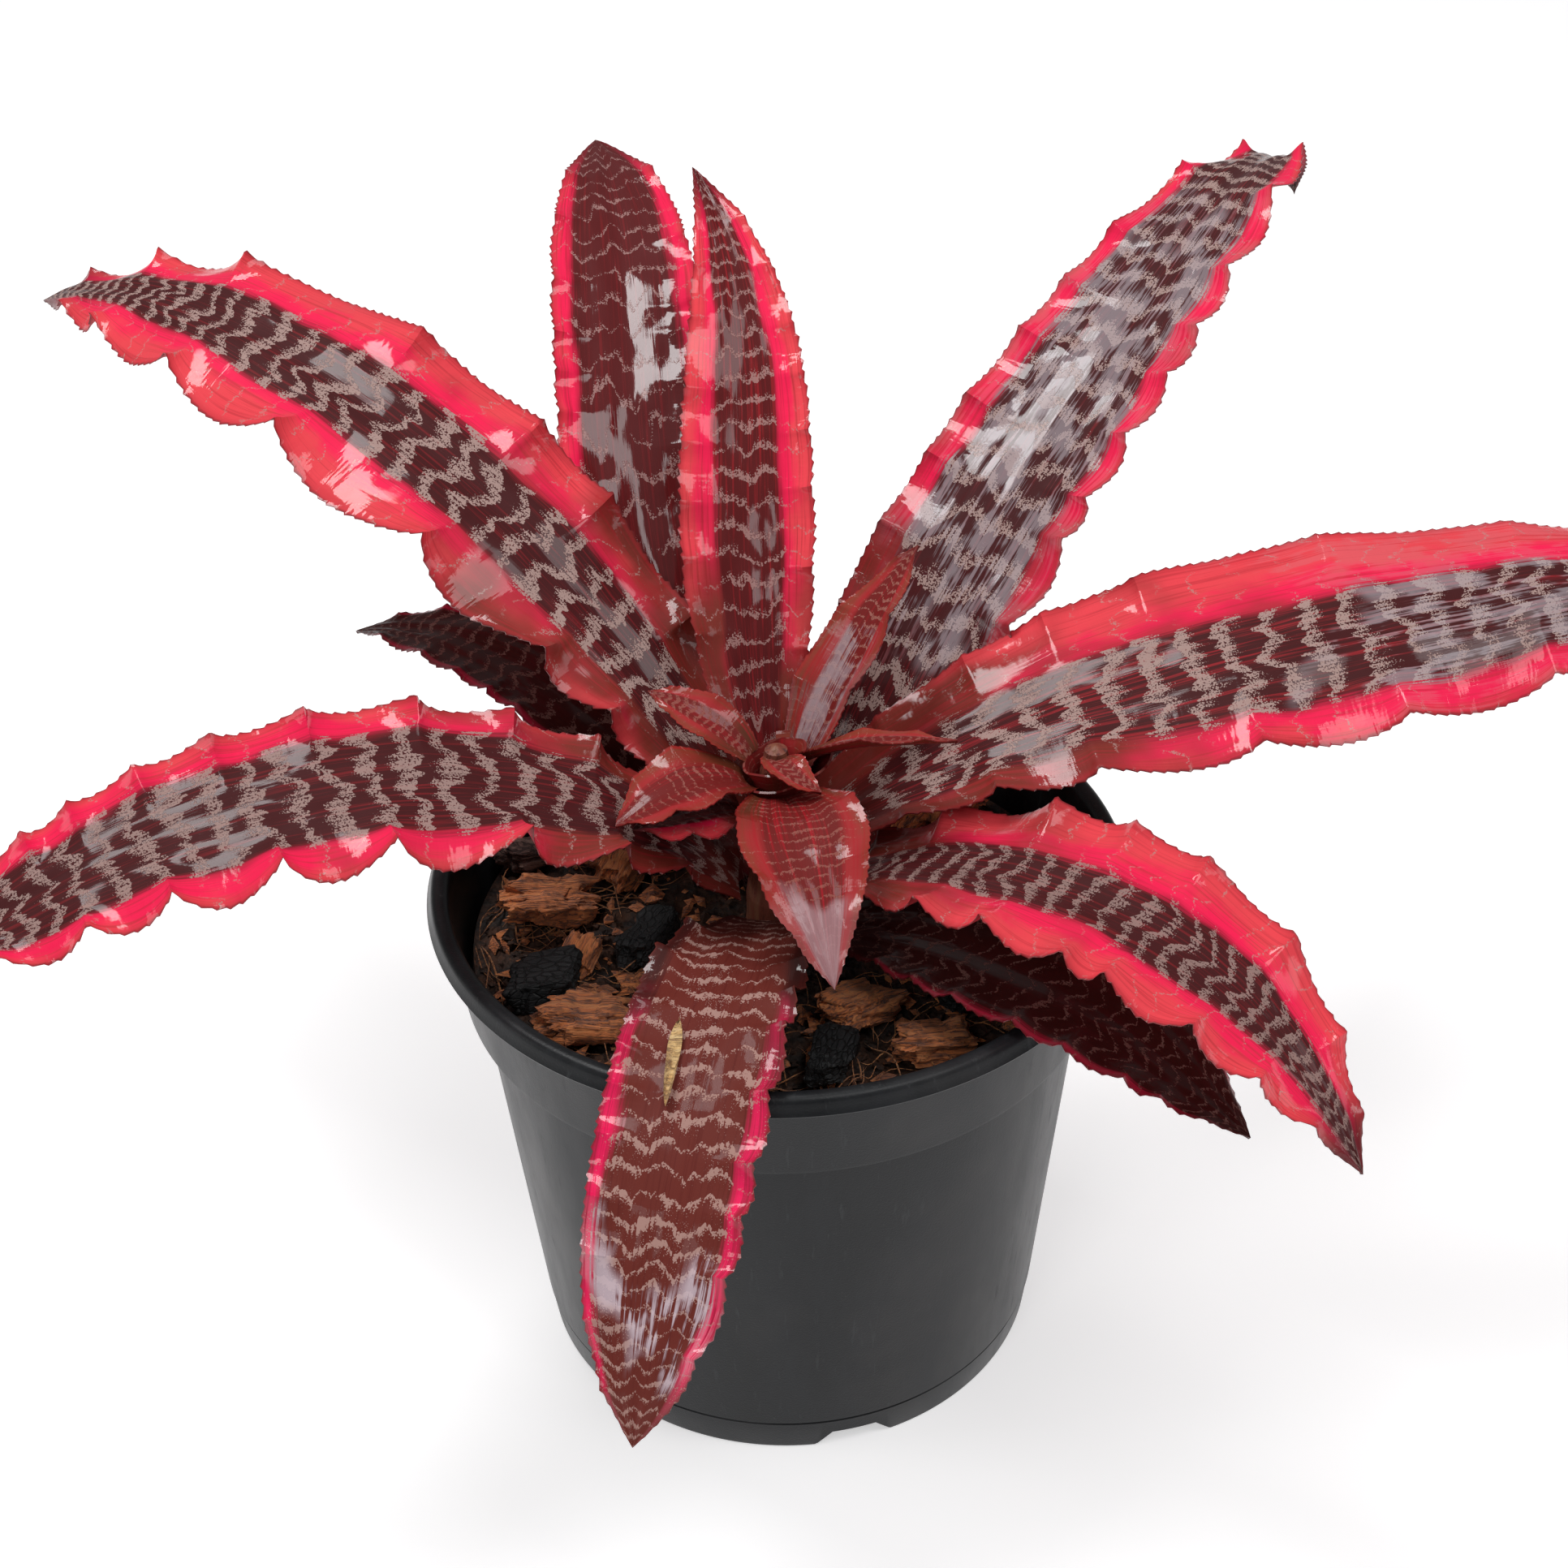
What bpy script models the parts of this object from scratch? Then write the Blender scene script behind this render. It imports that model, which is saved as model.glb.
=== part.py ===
"""Potted bromeliad: a black nursery pot, its mix and loose chips, and a rosette of strap leaves.

Everything is laid out round the pot's own axis and then moved as one, so that the
origin is the bottom centre of the whole bounding box. Metres, +Z up, +Y away from the front.
"""
import math

import bmesh
import bpy
import numpy as np
from mathutils import Matrix, Vector

# ---------------------------------------------------------------- driving dimensions (metres)
GAP = 0.0003                 # clearance left between pieces that touch

RIM_R = 0.075                # outside of the rolled rim
POT_H = 0.1216               # height of the pot
WALL = 0.0016                # wall thickness
LIP_W = 0.0040               # rim width, outside to inside
SKIRT_R = 0.0759             # lower edge of the rim's skirt
SKIRT_Z = 0.1180
BAND_TOP_R = 0.0722          # wall just under the skirt
BAND_Z = 0.0967              # lower edge of the thicker upper band
BAND_R = 0.0697
BODY_TOP_R = 0.0663          # wall just under the band
BASE_Z = 0.0089              # fine line above the foot
BASE_R = 0.0576
FOOT_R = 0.0563
FLOOR_Z = 0.0060             # underside of the floor, above the foot's tread
FLOOR_T = 0.0020
POT_STEPS = 64

NOTCH_W = 0.018              # notches in the foot ring, at its tread
NOTCH_H = 0.0045
NOTCH_SLOPE = 0.004
NOTCH_N = 3
NOTCH_AZ = -76.0             # degrees, the first notch

DRAIN_R = 0.0045             # drain holes through the floor
DRAIN_RING_R = 0.040
DRAIN_N = 6

MIX_Z = 0.1035               # surface of the mix
MIX_LUMP = 0.0014            # its unevenness

STEM_Z = (0.1042, 0.1520)    # short stem, lower and upper end
STEM_R = (0.0078, 0.0026)

LEAF_T = 0.0014              # leaf thickness at the midrib
EDGE_T = 0.0008              # leaf thickness at the margin

# Leaves. Lengths in mm, angles in degrees.
# az: heading from the stem; r0, z0: where the midrib starts; L: length along the midrib;
# pitch: slope of the midrib at five even stations; sweep: heading change at three stations;
# roll: twist about the midrib at base and tip; W: greatest width, at the share tm of the length;
# wb: base width as a share of W; tip: how blunt the point is, 2 when left out;
# ch: depth of the channel at base and tip, as a share of the half width;
# A, n: height and number of the margin's ruffles; pa, pb: their phase on either margin.
LEAVES = {
    "leaf_left_long": dict(
        az=138, r0=9, z0=130, L=248, pitch=(46, 34, 18, -5, -31), sweep=(0, 5, -5),
        roll=(-4, -18), W=44, tm=0.42, wb=0.36, tip=2.3, ch=(0.18, -0.10), A=4.5, n=8.5, pa=0.10, pb=0.45),
    "leaf_left_low": dict(
        az=193, r0=9, z0=120, L=210, pitch=(53, 25, 0, -18, -30), sweep=(0, 7, 10),
        roll=(-16, -15), W=40, tm=0.42, wb=0.36, tip=2.2, ch=(0.10, 0.04), A=4.0, n=10.0, pa=0.30, pb=0.05),
    "leaf_back_left": dict(
        az=129, r0=10, z0=113, L=203, pitch=(53, 44, 37, 19, -2), sweep=(0, -34, -28),
        roll=(1, 0), W=34, tm=0.45, wb=0.36, tip=4.5, ch=(0.28, 0.11), A=2.2, n=8.5, pa=0.2, pb=0.6),
    "leaf_back_upright": dict(
        az=104, r0=7, z0=136, L=144, pitch=(61, 56, 48, 38, 17), sweep=(0, -15, 10),
        roll=(-1, -1), W=29, tm=0.40, wb=0.36, tip=2.2, ch=(0.35, 0.14), A=2.0, n=8.0, pa=0.1, pb=0.5),
    "leaf_back_right": dict(
        az=51, r0=9, z0=108, L=254, pitch=(51, 42, 28, 13, -57), sweep=(0, -2, 13),
        roll=(7, -10), W=44, tm=0.32, wb=0.36, tip=2.6, ch=(0.22, 0.09), A=2.6, n=9.5, pa=0.1, pb=0.9),
    "leaf_right_long": dict(
        az=9, r0=9, z0=132, L=228, pitch=(37, 17, 8, 1, -15), sweep=(0, -1, 2),
        roll=(9, 25), W=54, tm=0.45, wb=0.36, tip=2.2, ch=(0.18, -0.42), A=4.0, n=8.5, pa=0.6, pb=0.2),
    "leaf_front_right": dict(
        az=-38, r0=9, z0=119, L=152, pitch=(46, 20, -3, -32, -58), sweep=(0, 4, -8),
        roll=(1, 2), W=42, tm=0.50, wb=0.36, tip=2.0, ch=(0.20, 0.08), A=4.0, n=8.0, pa=0.7, pb=0.1),
    "leaf_front_right_under": dict(
        az=-39, r0=10, z0=110, L=113, pitch=(30, 12, 2, -20, -36), sweep=(0, 1, 3),
        roll=(2, 2), W=35, tm=0.45, wb=0.40, tip=2.6, ch=(0.20, 0.08), A=2.2, n=9.0, pa=0.2, pb=0.1),
    "leaf_front_hanging": dict(
        az=-105, r0=10, z0=114, L=140, pitch=(33, 9, -20, -50, -68), sweep=(0, 2, -5),
        roll=(8, -4), W=33, tm=0.28, wb=0.46, tip=5.0, ch=(0.15, 0.06), A=2.2, n=9.5, pa=0.4, pb=0.0),
    "leaf_front_short": dict(
        az=-80, r0=7, z0=145, L=57, pitch=(34, 12, -18, -38, -46), sweep=(0, 0, 4),
        roll=(0, 0), W=27, tm=0.42, wb=0.40, tip=1.5, ch=(0.25, 0.10), A=1.2, n=4.0, pa=0.3, pb=0.1),
    "leaf_left_behind": dict(
        az=143, r0=11, z0=110, L=124, pitch=(51, 37, 15, -7, -30), sweep=(0, 1, 0),
        roll=(-5, -6), W=27, tm=0.42, wb=0.40, tip=2.2, ch=(0.22, 0.09), A=2.0, n=8.0, pa=0.3, pb=0.1),
    "leaf_inner_left": dict(
        az=-150, r0=7, z0=146, L=33, pitch=(40, 18, -2, -14, -20), sweep=(0, 0, 0),
        roll=(0, 0), W=21, tm=0.42, wb=0.40, ch=(0.30, 0.12), A=0.9, n=3.0, pa=0.3, pb=0.1),
    "leaf_left_small": dict(
        az=-152, r0=8, z0=139, L=27, pitch=(38, 20, 8, 0, -6), sweep=(0, 0, 0),
        roll=(0, 0), W=24, tm=0.45, wb=0.40, ch=(0.20, 0.08), A=1.2, n=3.0, pa=0.3, pb=0.1),
    "leaf_inner_upright": dict(
        az=41, r0=5, z0=141, L=57, pitch=(66, 57, 50, 44, 38), sweep=(0, 0, 0),
        roll=(-10, -10), W=19, tm=0.45, wb=0.42, ch=(0.40, 0.16), A=0.9, n=3.0, pa=0.3, pb=0.1),
    "leaf_inner_right": dict(
        az=-24, r0=5, z0=151, L=36, pitch=(40, 26, 14, 6, 0), sweep=(0, 8, 20),
        roll=(-20, -20), W=11, tm=0.42, wb=0.45, ch=(0.35, 0.14), A=0.5, n=2.5, pa=0.3, pb=0.1),
    "leaf_inner_back_left": dict(
        az=158, r0=6, z0=149, L=26, pitch=(52, 36, 24, 16, 8), sweep=(0, 0, 0),
        roll=(-20, -20), W=11, tm=0.42, wb=0.45, ch=(0.35, 0.14), A=0.5, n=2.5, pa=0.3, pb=0.1),
    "leaf_heart": dict(
        az=-90, r0=4, z0=152, L=17, pitch=(42, 18, -6, -16, -20), sweep=(0, 38, 70),
        roll=(0, 0), W=9, tm=0.42, wb=0.50, ch=(0.35, 0.14), A=0.3, n=2.0, pa=0.3, pb=0.1),
}
DARK_LEAVES = {"leaf_left_behind", "leaf_front_right_under", "leaf_front_hanging"}

# Loose pieces on the mix: x, y, turn (degrees), length, width, thickness (mm), tilt (degrees), slot.
CHIPS = {
    "husk_chip_left": (-51, 4, 20, 17, 14, 6, 14, "husk"),
    "husk_chip_back": (-35, 22, 65, 15, 12, 6, -10, "husk"),
    "husk_chip_front_left": (-41, -35, 8, 15, 12, 6, 12, "husk"),
    "husk_chip_front_mid": (17, -31, 40, 14, 11, 6, 10, "husk"),
    "husk_chip_front_right": (30, -45, 12, 15, 10, 6, 8, "husk"),
    "husk_chip_middle": (-43, -11, 70, 8, 6, 4, -12, "husk"),
    "husk_chip_right": (46, -10, 100, 15, 12, 6, 8, "husk"),
    "husk_chip_back_right": (36, 34, 50, 16, 12, 6, -8, "husk"),
    "charcoal_left": (-30, -8, 68, 14, 7, 6, 6, "charcoal"),
    "charcoal_front_left": (-49, -22, 5, 13, 9, 6, -6, "charcoal"),
    "charcoal_front": (10, -48, 75, 13, 9, 6, 6, "charcoal"),
    "charcoal_right": (38, -28, 30, 11, 9, 6, 6, "charcoal"),
    "bark_back_left": (-56, 22, 30, 12, 9, 6, 10, "bark"),
    "bark_back": (4, 46, 10, 16, 11, 6, -8, "bark"),
}
# Coir strands: start x, y, heading (degrees), length, bow (mm), height above the mix (mm).
STRANDS = {
    "coir_strand_a": (-65, -5, -74, 22, 1.0, 2.2),
    "coir_strand_b": (-56, -34, -36, 20, -2.0, 2.4),
    "coir_strand_c": (-31, -24, 2, 24, 2.0, 2.0),
    "coir_strand_d": (-12, -48, -14, 18, -2.0, 2.2),
    "coir_strand_e": (-61, 12, -110, 14, 1.5, 2.0),
}
STRAND_R = 0.00055

COLOURS = {
    "pot_plastic": ((0.028, 0.030, 0.032, 1), 0.38, 0.0),
    "growing_mix": ((0.035, 0.018, 0.012, 1), 0.95, 0.0),
    "stem": ((0.22, 0.05, 0.04, 1), 0.6, 0.0),
    "leaf_red": ((0.42, 0.04, 0.06, 1), 0.25, 0.0),
    "leaf_dark": ((0.16, 0.025, 0.025, 1), 0.28, 0.0),
    "husk": ((0.36, 0.14, 0.055, 1), 0.9, 0.0),
    "charcoal": ((0.02, 0.021, 0.023, 1), 0.8, 0.0),
    "bark": ((0.12, 0.07, 0.055, 1), 0.9, 0.0),
    "coir": ((0.40, 0.17, 0.06, 1), 0.8, 0.0),
    "dry_scrap": ((0.62, 0.40, 0.12, 1), 0.8, 0.0),
}


# ---------------------------------------------------------------- helpers
def clear_scene():
    for obj in list(bpy.data.objects):
        bpy.data.objects.remove(obj, do_unlink=True)


def collection(name, hidden=False):
    coll = bpy.data.collections.new(name)
    bpy.context.scene.collection.children.link(coll)
    coll.hide_render = hidden
    return coll


def material(name):
    colour, rough, metal = COLOURS[name]
    mat = bpy.data.materials.new(name)
    mat.use_nodes = True
    bsdf = mat.node_tree.nodes["Principled BSDF"]
    bsdf.inputs["Base Color"].default_value = colour
    bsdf.inputs["Roughness"].default_value = rough
    bsdf.inputs["Metallic"].default_value = metal
    mat.diffuse_color = colour
    return mat


def add_object(name, verts, faces, slot, smooth=True):
    mesh = bpy.data.meshes.new(name)
    mesh.from_pydata([tuple(float(c) for c in v) for v in verts], [], faces)
    mesh.validate()
    obj = bpy.data.objects.new(name, mesh)
    PARTS.objects.link(obj)
    mesh.materials.append(MATS[slot])
    for poly in mesh.polygons:
        poly.use_smooth = smooth
    return obj


def face_out(obj):
    """Make every face of a closed mesh point outwards."""
    bm = bmesh.new()
    bm.from_mesh(obj.data)
    bmesh.ops.recalc_face_normals(bm, faces=bm.faces)
    if bm.calc_volume(signed=True) < 0:
        bmesh.ops.reverse_faces(bm, faces=bm.faces)
    bm.to_mesh(obj.data)
    bm.free()
    return obj


def smooth_stations(values, t):
    """Even stations joined by a curve that keeps each station's value and a shared slope there."""
    v = np.asarray(values, float)
    n = len(v) - 1
    x = np.clip(t, 0, 1) * n
    i = np.minimum(x.astype(int), n - 1)
    u = x - i
    p = np.concatenate([[2 * v[0] - v[1]], v, [2 * v[-1] - v[-2]]])
    a, b, c, d = p[i], p[i + 1], p[i + 2], p[i + 3]
    return b + 0.5 * u * (c - a + u * (2 * a - 5 * b + 4 * c - d + u * (3 * (b - c) + d - a)))


# ---------------------------------------------------------------- leaves
def leaf_path(leaf, t):
    """Midrib points and the side and up directions there, for shares t of the length."""
    steps = 240
    s = (np.arange(steps) + 0.5) / steps
    pitch = np.radians(smooth_stations(leaf["pitch"], s))
    head = np.radians(leaf["az"] + smooth_stations(leaf["sweep"], s))
    move = np.stack([np.cos(pitch) * np.cos(head), np.cos(pitch) * np.sin(head), np.sin(pitch)], -1)
    path = np.concatenate([np.zeros((1, 3)), np.cumsum(move, 0)]) * leaf["L"] / steps
    az = math.radians(leaf["az"])
    path = path + np.array([leaf["r0"] * math.cos(az), leaf["r0"] * math.sin(az), leaf["z0"]])
    grid = np.linspace(0, 1, steps + 1)
    mid = np.stack([np.interp(t, grid, path[:, k]) for k in range(3)], -1)
    pitch = np.radians(smooth_stations(leaf["pitch"], t))
    head = np.radians(leaf["az"] + smooth_stations(leaf["sweep"], t))
    roll = np.radians(smooth_stations(leaf["roll"], t))
    along = np.stack([np.cos(pitch) * np.cos(head), np.cos(pitch) * np.sin(head), np.sin(pitch)], -1)
    level = np.stack([-np.sin(head), np.cos(head), 0 * head], -1)
    over = np.cross(along, level)
    side = level * np.cos(roll)[:, None] + over * np.sin(roll)[:, None]
    up = over * np.cos(roll)[:, None] - level * np.sin(roll)[:, None]
    return mid, side, up


def leaf_width(leaf, t):
    """Full width: a quarter sine from base to widest, then down to the point by the power `tip`."""
    tm = leaf["tm"]
    rise = leaf["wb"] + (1 - leaf["wb"]) * np.sin(0.5 * np.pi * np.clip(t / tm, 0, 1))
    left = np.clip((1 - t) / (1 - tm), 0, 1)
    fall = 1 - (1 - left) ** leaf.get("tip", 2)
    return leaf["W"] * np.where(t < tm, rise, fall)


def leaf_points(leaf, t, v):
    """Upper surface: a shallow channel across, ruffled at the margins with cusps pointing up."""
    mid, side, up = leaf_path(leaf, t)
    half = np.maximum(leaf_width(leaf, t) / 2, 0.6)
    fade = np.clip(t / 0.12, 0, 1) * np.clip((1 - t) / 0.12, 0, 1)
    channel = leaf["ch"][0] + (leaf["ch"][1] - leaf["ch"][0]) * t
    rows = []
    for side_v in v:
        phase = leaf["pa"] if side_v > 0 else leaf["pb"]
        wave = np.abs(np.sin(np.pi * (leaf["n"] * t ** 1.4 + phase)))
        ruffle = leaf["A"] * fade * (0.62 - wave ** 0.9) * 1.6 * abs(side_v) ** 1.7
        across = side_v * half * (1 - 0.12 * abs(side_v) * np.abs(channel))
        rise = channel * half * side_v ** 2 + ruffle
        rows.append(mid + side * across[:, None] + up * rise[:, None])
    return np.stack(rows, 1), up


def add_leaf(name, leaf, slot, stations, columns):
    t = np.linspace(0, 1, stations)
    v = np.linspace(-1, 1, columns)
    top, up = leaf_points(leaf, t, v)
    thick = (EDGE_T + (LEAF_T - EDGE_T) * (1 - np.abs(v) ** 1.5)) * 1000
    fine = 1 - 0.4 * t
    low = top - up[:, None, :] * (thick[None, :, None] * fine[:, None, None])
    verts = np.concatenate([top.reshape(-1, 3), low.reshape(-1, 3)]) * 0.001
    count = stations * columns
    faces = []
    for i in range(stations - 1):
        for j in range(columns - 1):
            a = i * columns + j
            b = a + columns
            faces.append((a, a + 1, b + 1, b))
            faces.append((count + a, count + b, count + b + 1, count + a + 1))
    for i in range(stations - 1):
        a = i * columns
        faces.append((a, a + columns, count + a + columns, count + a))
        a = i * columns + columns - 1
        faces.append((a, count + a, count + a + columns, a + columns))
    for j in range(columns - 1):
        faces.append((j, count + j, count + j + 1, j + 1))
        a = (stations - 1) * columns + j
        faces.append((a, a + 1, count + a + 1, count + a))
    return face_out(add_object(name, verts, faces, slot))


# ---------------------------------------------------------------- pot
def inner_radius(z):
    """Inner radius of the pot at height z: the outer wall less its thickness, with a sloped step."""
    heights = (FLOOR_Z, BAND_Z - 0.0006, BAND_Z + 0.0020, POT_H - 0.0040)
    radii = (BASE_R - WALL - 0.0003, BODY_TOP_R - WALL, BAND_R - WALL, BAND_TOP_R - WALL)
    return float(np.interp(z, heights, radii))


def add_pot():
    inner_top = RIM_R - LIP_W
    floor_top = FLOOR_Z + FLOOR_T
    body_low = BODY_TOP_R - 0.0001
    points = [
        (0.0, floor_top),
        (inner_radius(floor_top) - 0.002, floor_top),
        (inner_radius(floor_top + 0.002), floor_top + 0.002),
        (inner_radius(BAND_Z - 0.0006), BAND_Z - 0.0006),
        (inner_radius(BAND_Z + 0.0020), BAND_Z + 0.0020),
        (inner_radius(POT_H - 0.004), POT_H - 0.004),
        (inner_top, POT_H - 0.0012),
        (inner_top + 0.0008, POT_H - 0.0003),
        (inner_top + 0.0018, POT_H),
        (RIM_R - 0.0012, POT_H - 0.0002),
        (RIM_R - 0.0004, POT_H - 0.0010),
        (SKIRT_R, SKIRT_Z),
        (SKIRT_R - 0.0004, SKIRT_Z - 0.0005),
        (BAND_TOP_R + 0.0004, SKIRT_Z - 0.0005),
        (BAND_TOP_R, SKIRT_Z - 0.0010),
        (BAND_R, BAND_Z + 0.0006),
        (BAND_R - 0.0006, BAND_Z),
        (body_low, BAND_Z - 0.0006),
        (BASE_R + 0.0001, BASE_Z + 0.0004),
        (BASE_R - 0.0006, BASE_Z),
        (BASE_R - 0.0002, BASE_Z - 0.0005),
        (FOOT_R, 0.0006),
        (FOOT_R - 0.0006, 0.0),
        (FOOT_R - 0.0030, 0.0),
        (FOOT_R - 0.0034, 0.0008),
        (FOOT_R - 0.0040, FLOOR_Z),
        (0.0, FLOOR_Z),
    ]
    mesh = bpy.data.meshes.new("pot")
    mesh.from_pydata([(r, 0, z) for r, z in points], [(i, i + 1) for i in range(len(points) - 1)], [])
    pot = bpy.data.objects.new("pot", mesh)
    PARTS.objects.link(pot)
    mesh.materials.append(MATS["pot_plastic"])
    screw = pot.modifiers.new("turn", "SCREW")
    screw.axis = "Z"
    screw.angle = 2 * math.pi
    screw.steps = POT_STEPS
    screw.render_steps = POT_STEPS
    screw.use_merge_vertices = True
    screw.merge_threshold = 0.00005
    screw.use_smooth_shade = True
    for k in range(NOTCH_N):
        cut(pot, notch_cutter(k))
    for k in range(DRAIN_N):
        cut(pot, drain_cutter(k))
    return pot


def cut(obj, cutter):
    mod = obj.modifiers.new(cutter.name, "BOOLEAN")
    mod.operation = "DIFFERENCE"
    mod.solver = "EXACT"
    mod.object = cutter


def add_cutter(name, verts, faces):
    mesh = bpy.data.meshes.new(name)
    mesh.from_pydata([tuple(v) for v in verts], [], faces)
    obj = bpy.data.objects.new(name, mesh)
    CUTTERS.objects.link(obj)
    obj.hide_render = True
    obj.display_type = "WIRE"
    return face_out(obj)


def prism(points, x_low, x_high, turn):
    """A prism along X with the given (y, z) outline, turned about Z by turn radians."""
    verts = [(x_low, y, z) for y, z in points] + [(x_high, y, z) for y, z in points]
    n = len(points)
    faces = [tuple(range(n)), tuple(range(2 * n - 1, n - 1, -1))]
    faces += [(i, i + n, (i + 1) % n + n, (i + 1) % n) for i in range(n)]
    spin = Matrix.Rotation(turn, 3, "Z")
    return [spin @ Vector(v) for v in verts], faces


def notch_cutter(k):
    turn = math.radians(NOTCH_AZ + 360 * k / NOTCH_N)
    half = NOTCH_W / 2
    outline = [(-half - 0.001, -0.001), (half + 0.001, -0.001), (half - NOTCH_SLOPE, NOTCH_H)]
    outline.append((-half + NOTCH_SLOPE, NOTCH_H))
    verts, faces = prism(outline, FOOT_R - 0.010, FOOT_R + 0.010, turn)
    return add_cutter("notch_cutter_%d" % k, verts, faces)


def drain_cutter(k):
    turn = math.radians(NOTCH_AZ + 30 + 360 * k / DRAIN_N)
    x = DRAIN_RING_R * math.cos(turn)
    y = DRAIN_RING_R * math.sin(turn)
    n = 16
    ring = [(x + DRAIN_R * math.cos(2 * math.pi * i / n), y + DRAIN_R * math.sin(2 * math.pi * i / n))
            for i in range(n)]
    low = FLOOR_Z - 0.002
    high = FLOOR_Z + FLOOR_T + 0.002
    verts = [(px, py, low) for px, py in ring] + [(px, py, high) for px, py in ring]
    faces = [tuple(range(n)), tuple(range(2 * n - 1, n - 1, -1))]
    faces += [(i, i + n, (i + 1) % n + n, (i + 1) % n) for i in range(n)]
    return add_cutter("drain_cutter_%d" % k, verts, faces)


# ---------------------------------------------------------------- mix, stem and loose pieces
def mix_height(x, y):
    """Height of the mix: a few crossed waves that fade out round the stem and at the wall."""
    r = np.hypot(x, y)
    waves = np.sin(170 * x + 1.0) * np.cos(150 * y) + 0.6 * np.sin(260 * y - 190 * x)
    fade = np.clip((r - 0.014) / 0.010, 0, 1) * np.clip((0.068 - r) / 0.008, 0, 1)
    return MIX_Z + MIX_LUMP * 0.6 * waves * fade


def add_mix():
    rings = [0.010, 0.020, 0.030, 0.040, 0.050, 0.060]
    steps = 40
    low_z = FLOOR_Z + FLOOR_T + GAP
    low_r = inner_radius(low_z + 0.002) - 0.0004
    angles = np.arange(steps) * 2 * math.pi / steps
    levels = [(r, None) for r in rings]
    for z in (MIX_Z, BAND_Z + 0.0020, BAND_Z - 0.0006):
        levels.append((inner_radius(z) - 0.0005, z))
    levels += [(low_r, low_z + 0.0024), (low_r - 0.0028, low_z)]
    verts = [(0, 0, float(mix_height(0.0, 0.0)))]
    for r, z in levels:
        for a in angles:
            x = r * math.cos(a)
            y = r * math.sin(a)
            verts.append((x, y, float(mix_height(x, y)) if z is None else z))
    verts.append((0, 0, low_z))
    last = len(verts) - 1
    faces = [(0, 1 + i, 1 + (i + 1) % steps) for i in range(steps)]
    for k in range(len(levels) - 1):
        a = 1 + k * steps
        b = a + steps
        faces += [(a + i, b + i, b + (i + 1) % steps, a + (i + 1) % steps) for i in range(steps)]
    a = 1 + (len(levels) - 1) * steps
    faces += [(a + (i + 1) % steps, a + i, last) for i in range(steps)]
    return face_out(add_object("growing_mix", verts, faces, "growing_mix"))


def add_stem():
    """A short tapering stem with faint rings, turned from its profile."""
    levels = 10
    steps = 20
    verts = [(0, 0, STEM_Z[0])]
    for k in range(levels):
        s = k / (levels - 1)
        z = STEM_Z[0] + (STEM_Z[1] - STEM_Z[0]) * s
        r = STEM_R[0] + (STEM_R[1] - STEM_R[0]) * s ** 1.3 + 0.0002 * math.cos(math.pi * k)
        for i in range(steps):
            a = 2 * math.pi * i / steps
            verts.append((r * math.cos(a), r * math.sin(a), z))
    verts.append((0, 0, STEM_Z[1] + 0.001))
    last = len(verts) - 1
    faces = [(0, 1 + (i + 1) % steps, 1 + i) for i in range(steps)]
    for k in range(levels - 1):
        a = 1 + k * steps
        b = a + steps
        faces += [(a + i, a + (i + 1) % steps, b + (i + 1) % steps, b + i) for i in range(steps)]
    a = 1 + (levels - 1) * steps
    faces += [(a + i, a + (i + 1) % steps, last) for i in range(steps)]
    return face_out(add_object("stem", verts, faces, "stem"))


def add_chip(name, row):
    """An uneven block: a small box grid pushed about by crossed sines, tilted, set on the mix."""
    x, y, turn, length, width, thick, tilt, slot = row
    bm = bmesh.new()
    bmesh.ops.create_cube(bm, size=1.0)
    bmesh.ops.subdivide_edges(bm, edges=bm.edges, cuts=2, use_grid_fill=True)
    seed = x * 0.7 + y * 1.3
    for vert in bm.verts:
        p = vert.co
        ripple = 0.10 * math.sin(7 * p.x + 5 * p.y + seed) + 0.08 * math.sin(9 * p.z - 6 * p.y + 2 * seed)
        skew = 1 + 0.12 * math.sin(seed + 3 * p.z)
        vert.co = Vector((
            (p.x * skew + 0.10 * p.y + ripple * 0.5) * length * 0.001,
            (p.y * (1 + 0.15 * p.x) + ripple * 0.6) * width * 0.001,
            (p.z + ripple * 0.9) * thick * 0.001))
    bm.transform(Matrix.Rotation(math.radians(turn), 4, "Z") @ Matrix.Rotation(math.radians(tilt), 4, "Y"))
    lowest = min(v.co.z for v in bm.verts)
    ground = MIX_Z
    for vert in bm.verts:
        ground = max(ground, float(mix_height(vert.co.x + x * 0.001, vert.co.y + y * 0.001)))
    bm.transform(Matrix.Translation((x * 0.001, y * 0.001, ground - lowest + GAP)))
    mesh = bpy.data.meshes.new(name)
    bm.to_mesh(mesh)
    bm.free()
    obj = bpy.data.objects.new(name, mesh)
    PARTS.objects.link(obj)
    mesh.materials.append(MATS[slot])
    return face_out(obj)


def add_tube(name, path, radius, sides, slot):
    """A closed tapering tube along a path of points."""
    path = np.asarray(path, float)
    along = np.gradient(path, axis=0)
    along /= np.linalg.norm(along, axis=1)[:, None]
    side = np.cross(along, (0, 0, 1.0))
    side /= np.linalg.norm(side, axis=1)[:, None]
    over = np.cross(side, along)
    count = len(path)
    verts = []
    for k in range(count):
        taper = radius * (0.45 + 0.55 * math.sin(math.pi * (k + 0.5) / count))
        for i in range(sides):
            a = 2 * math.pi * i / sides
            verts.append(path[k] + taper * (math.cos(a) * side[k] + math.sin(a) * over[k]))
    faces = [tuple(range(sides))]
    for k in range(count - 1):
        a = k * sides
        b = a + sides
        faces += [(a + i, b + i, b + (i + 1) % sides, a + (i + 1) % sides) for i in range(sides)]
    faces.append(tuple(range((count - 1) * sides, count * sides)))
    return face_out(add_object(name, verts, faces, slot))


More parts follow.
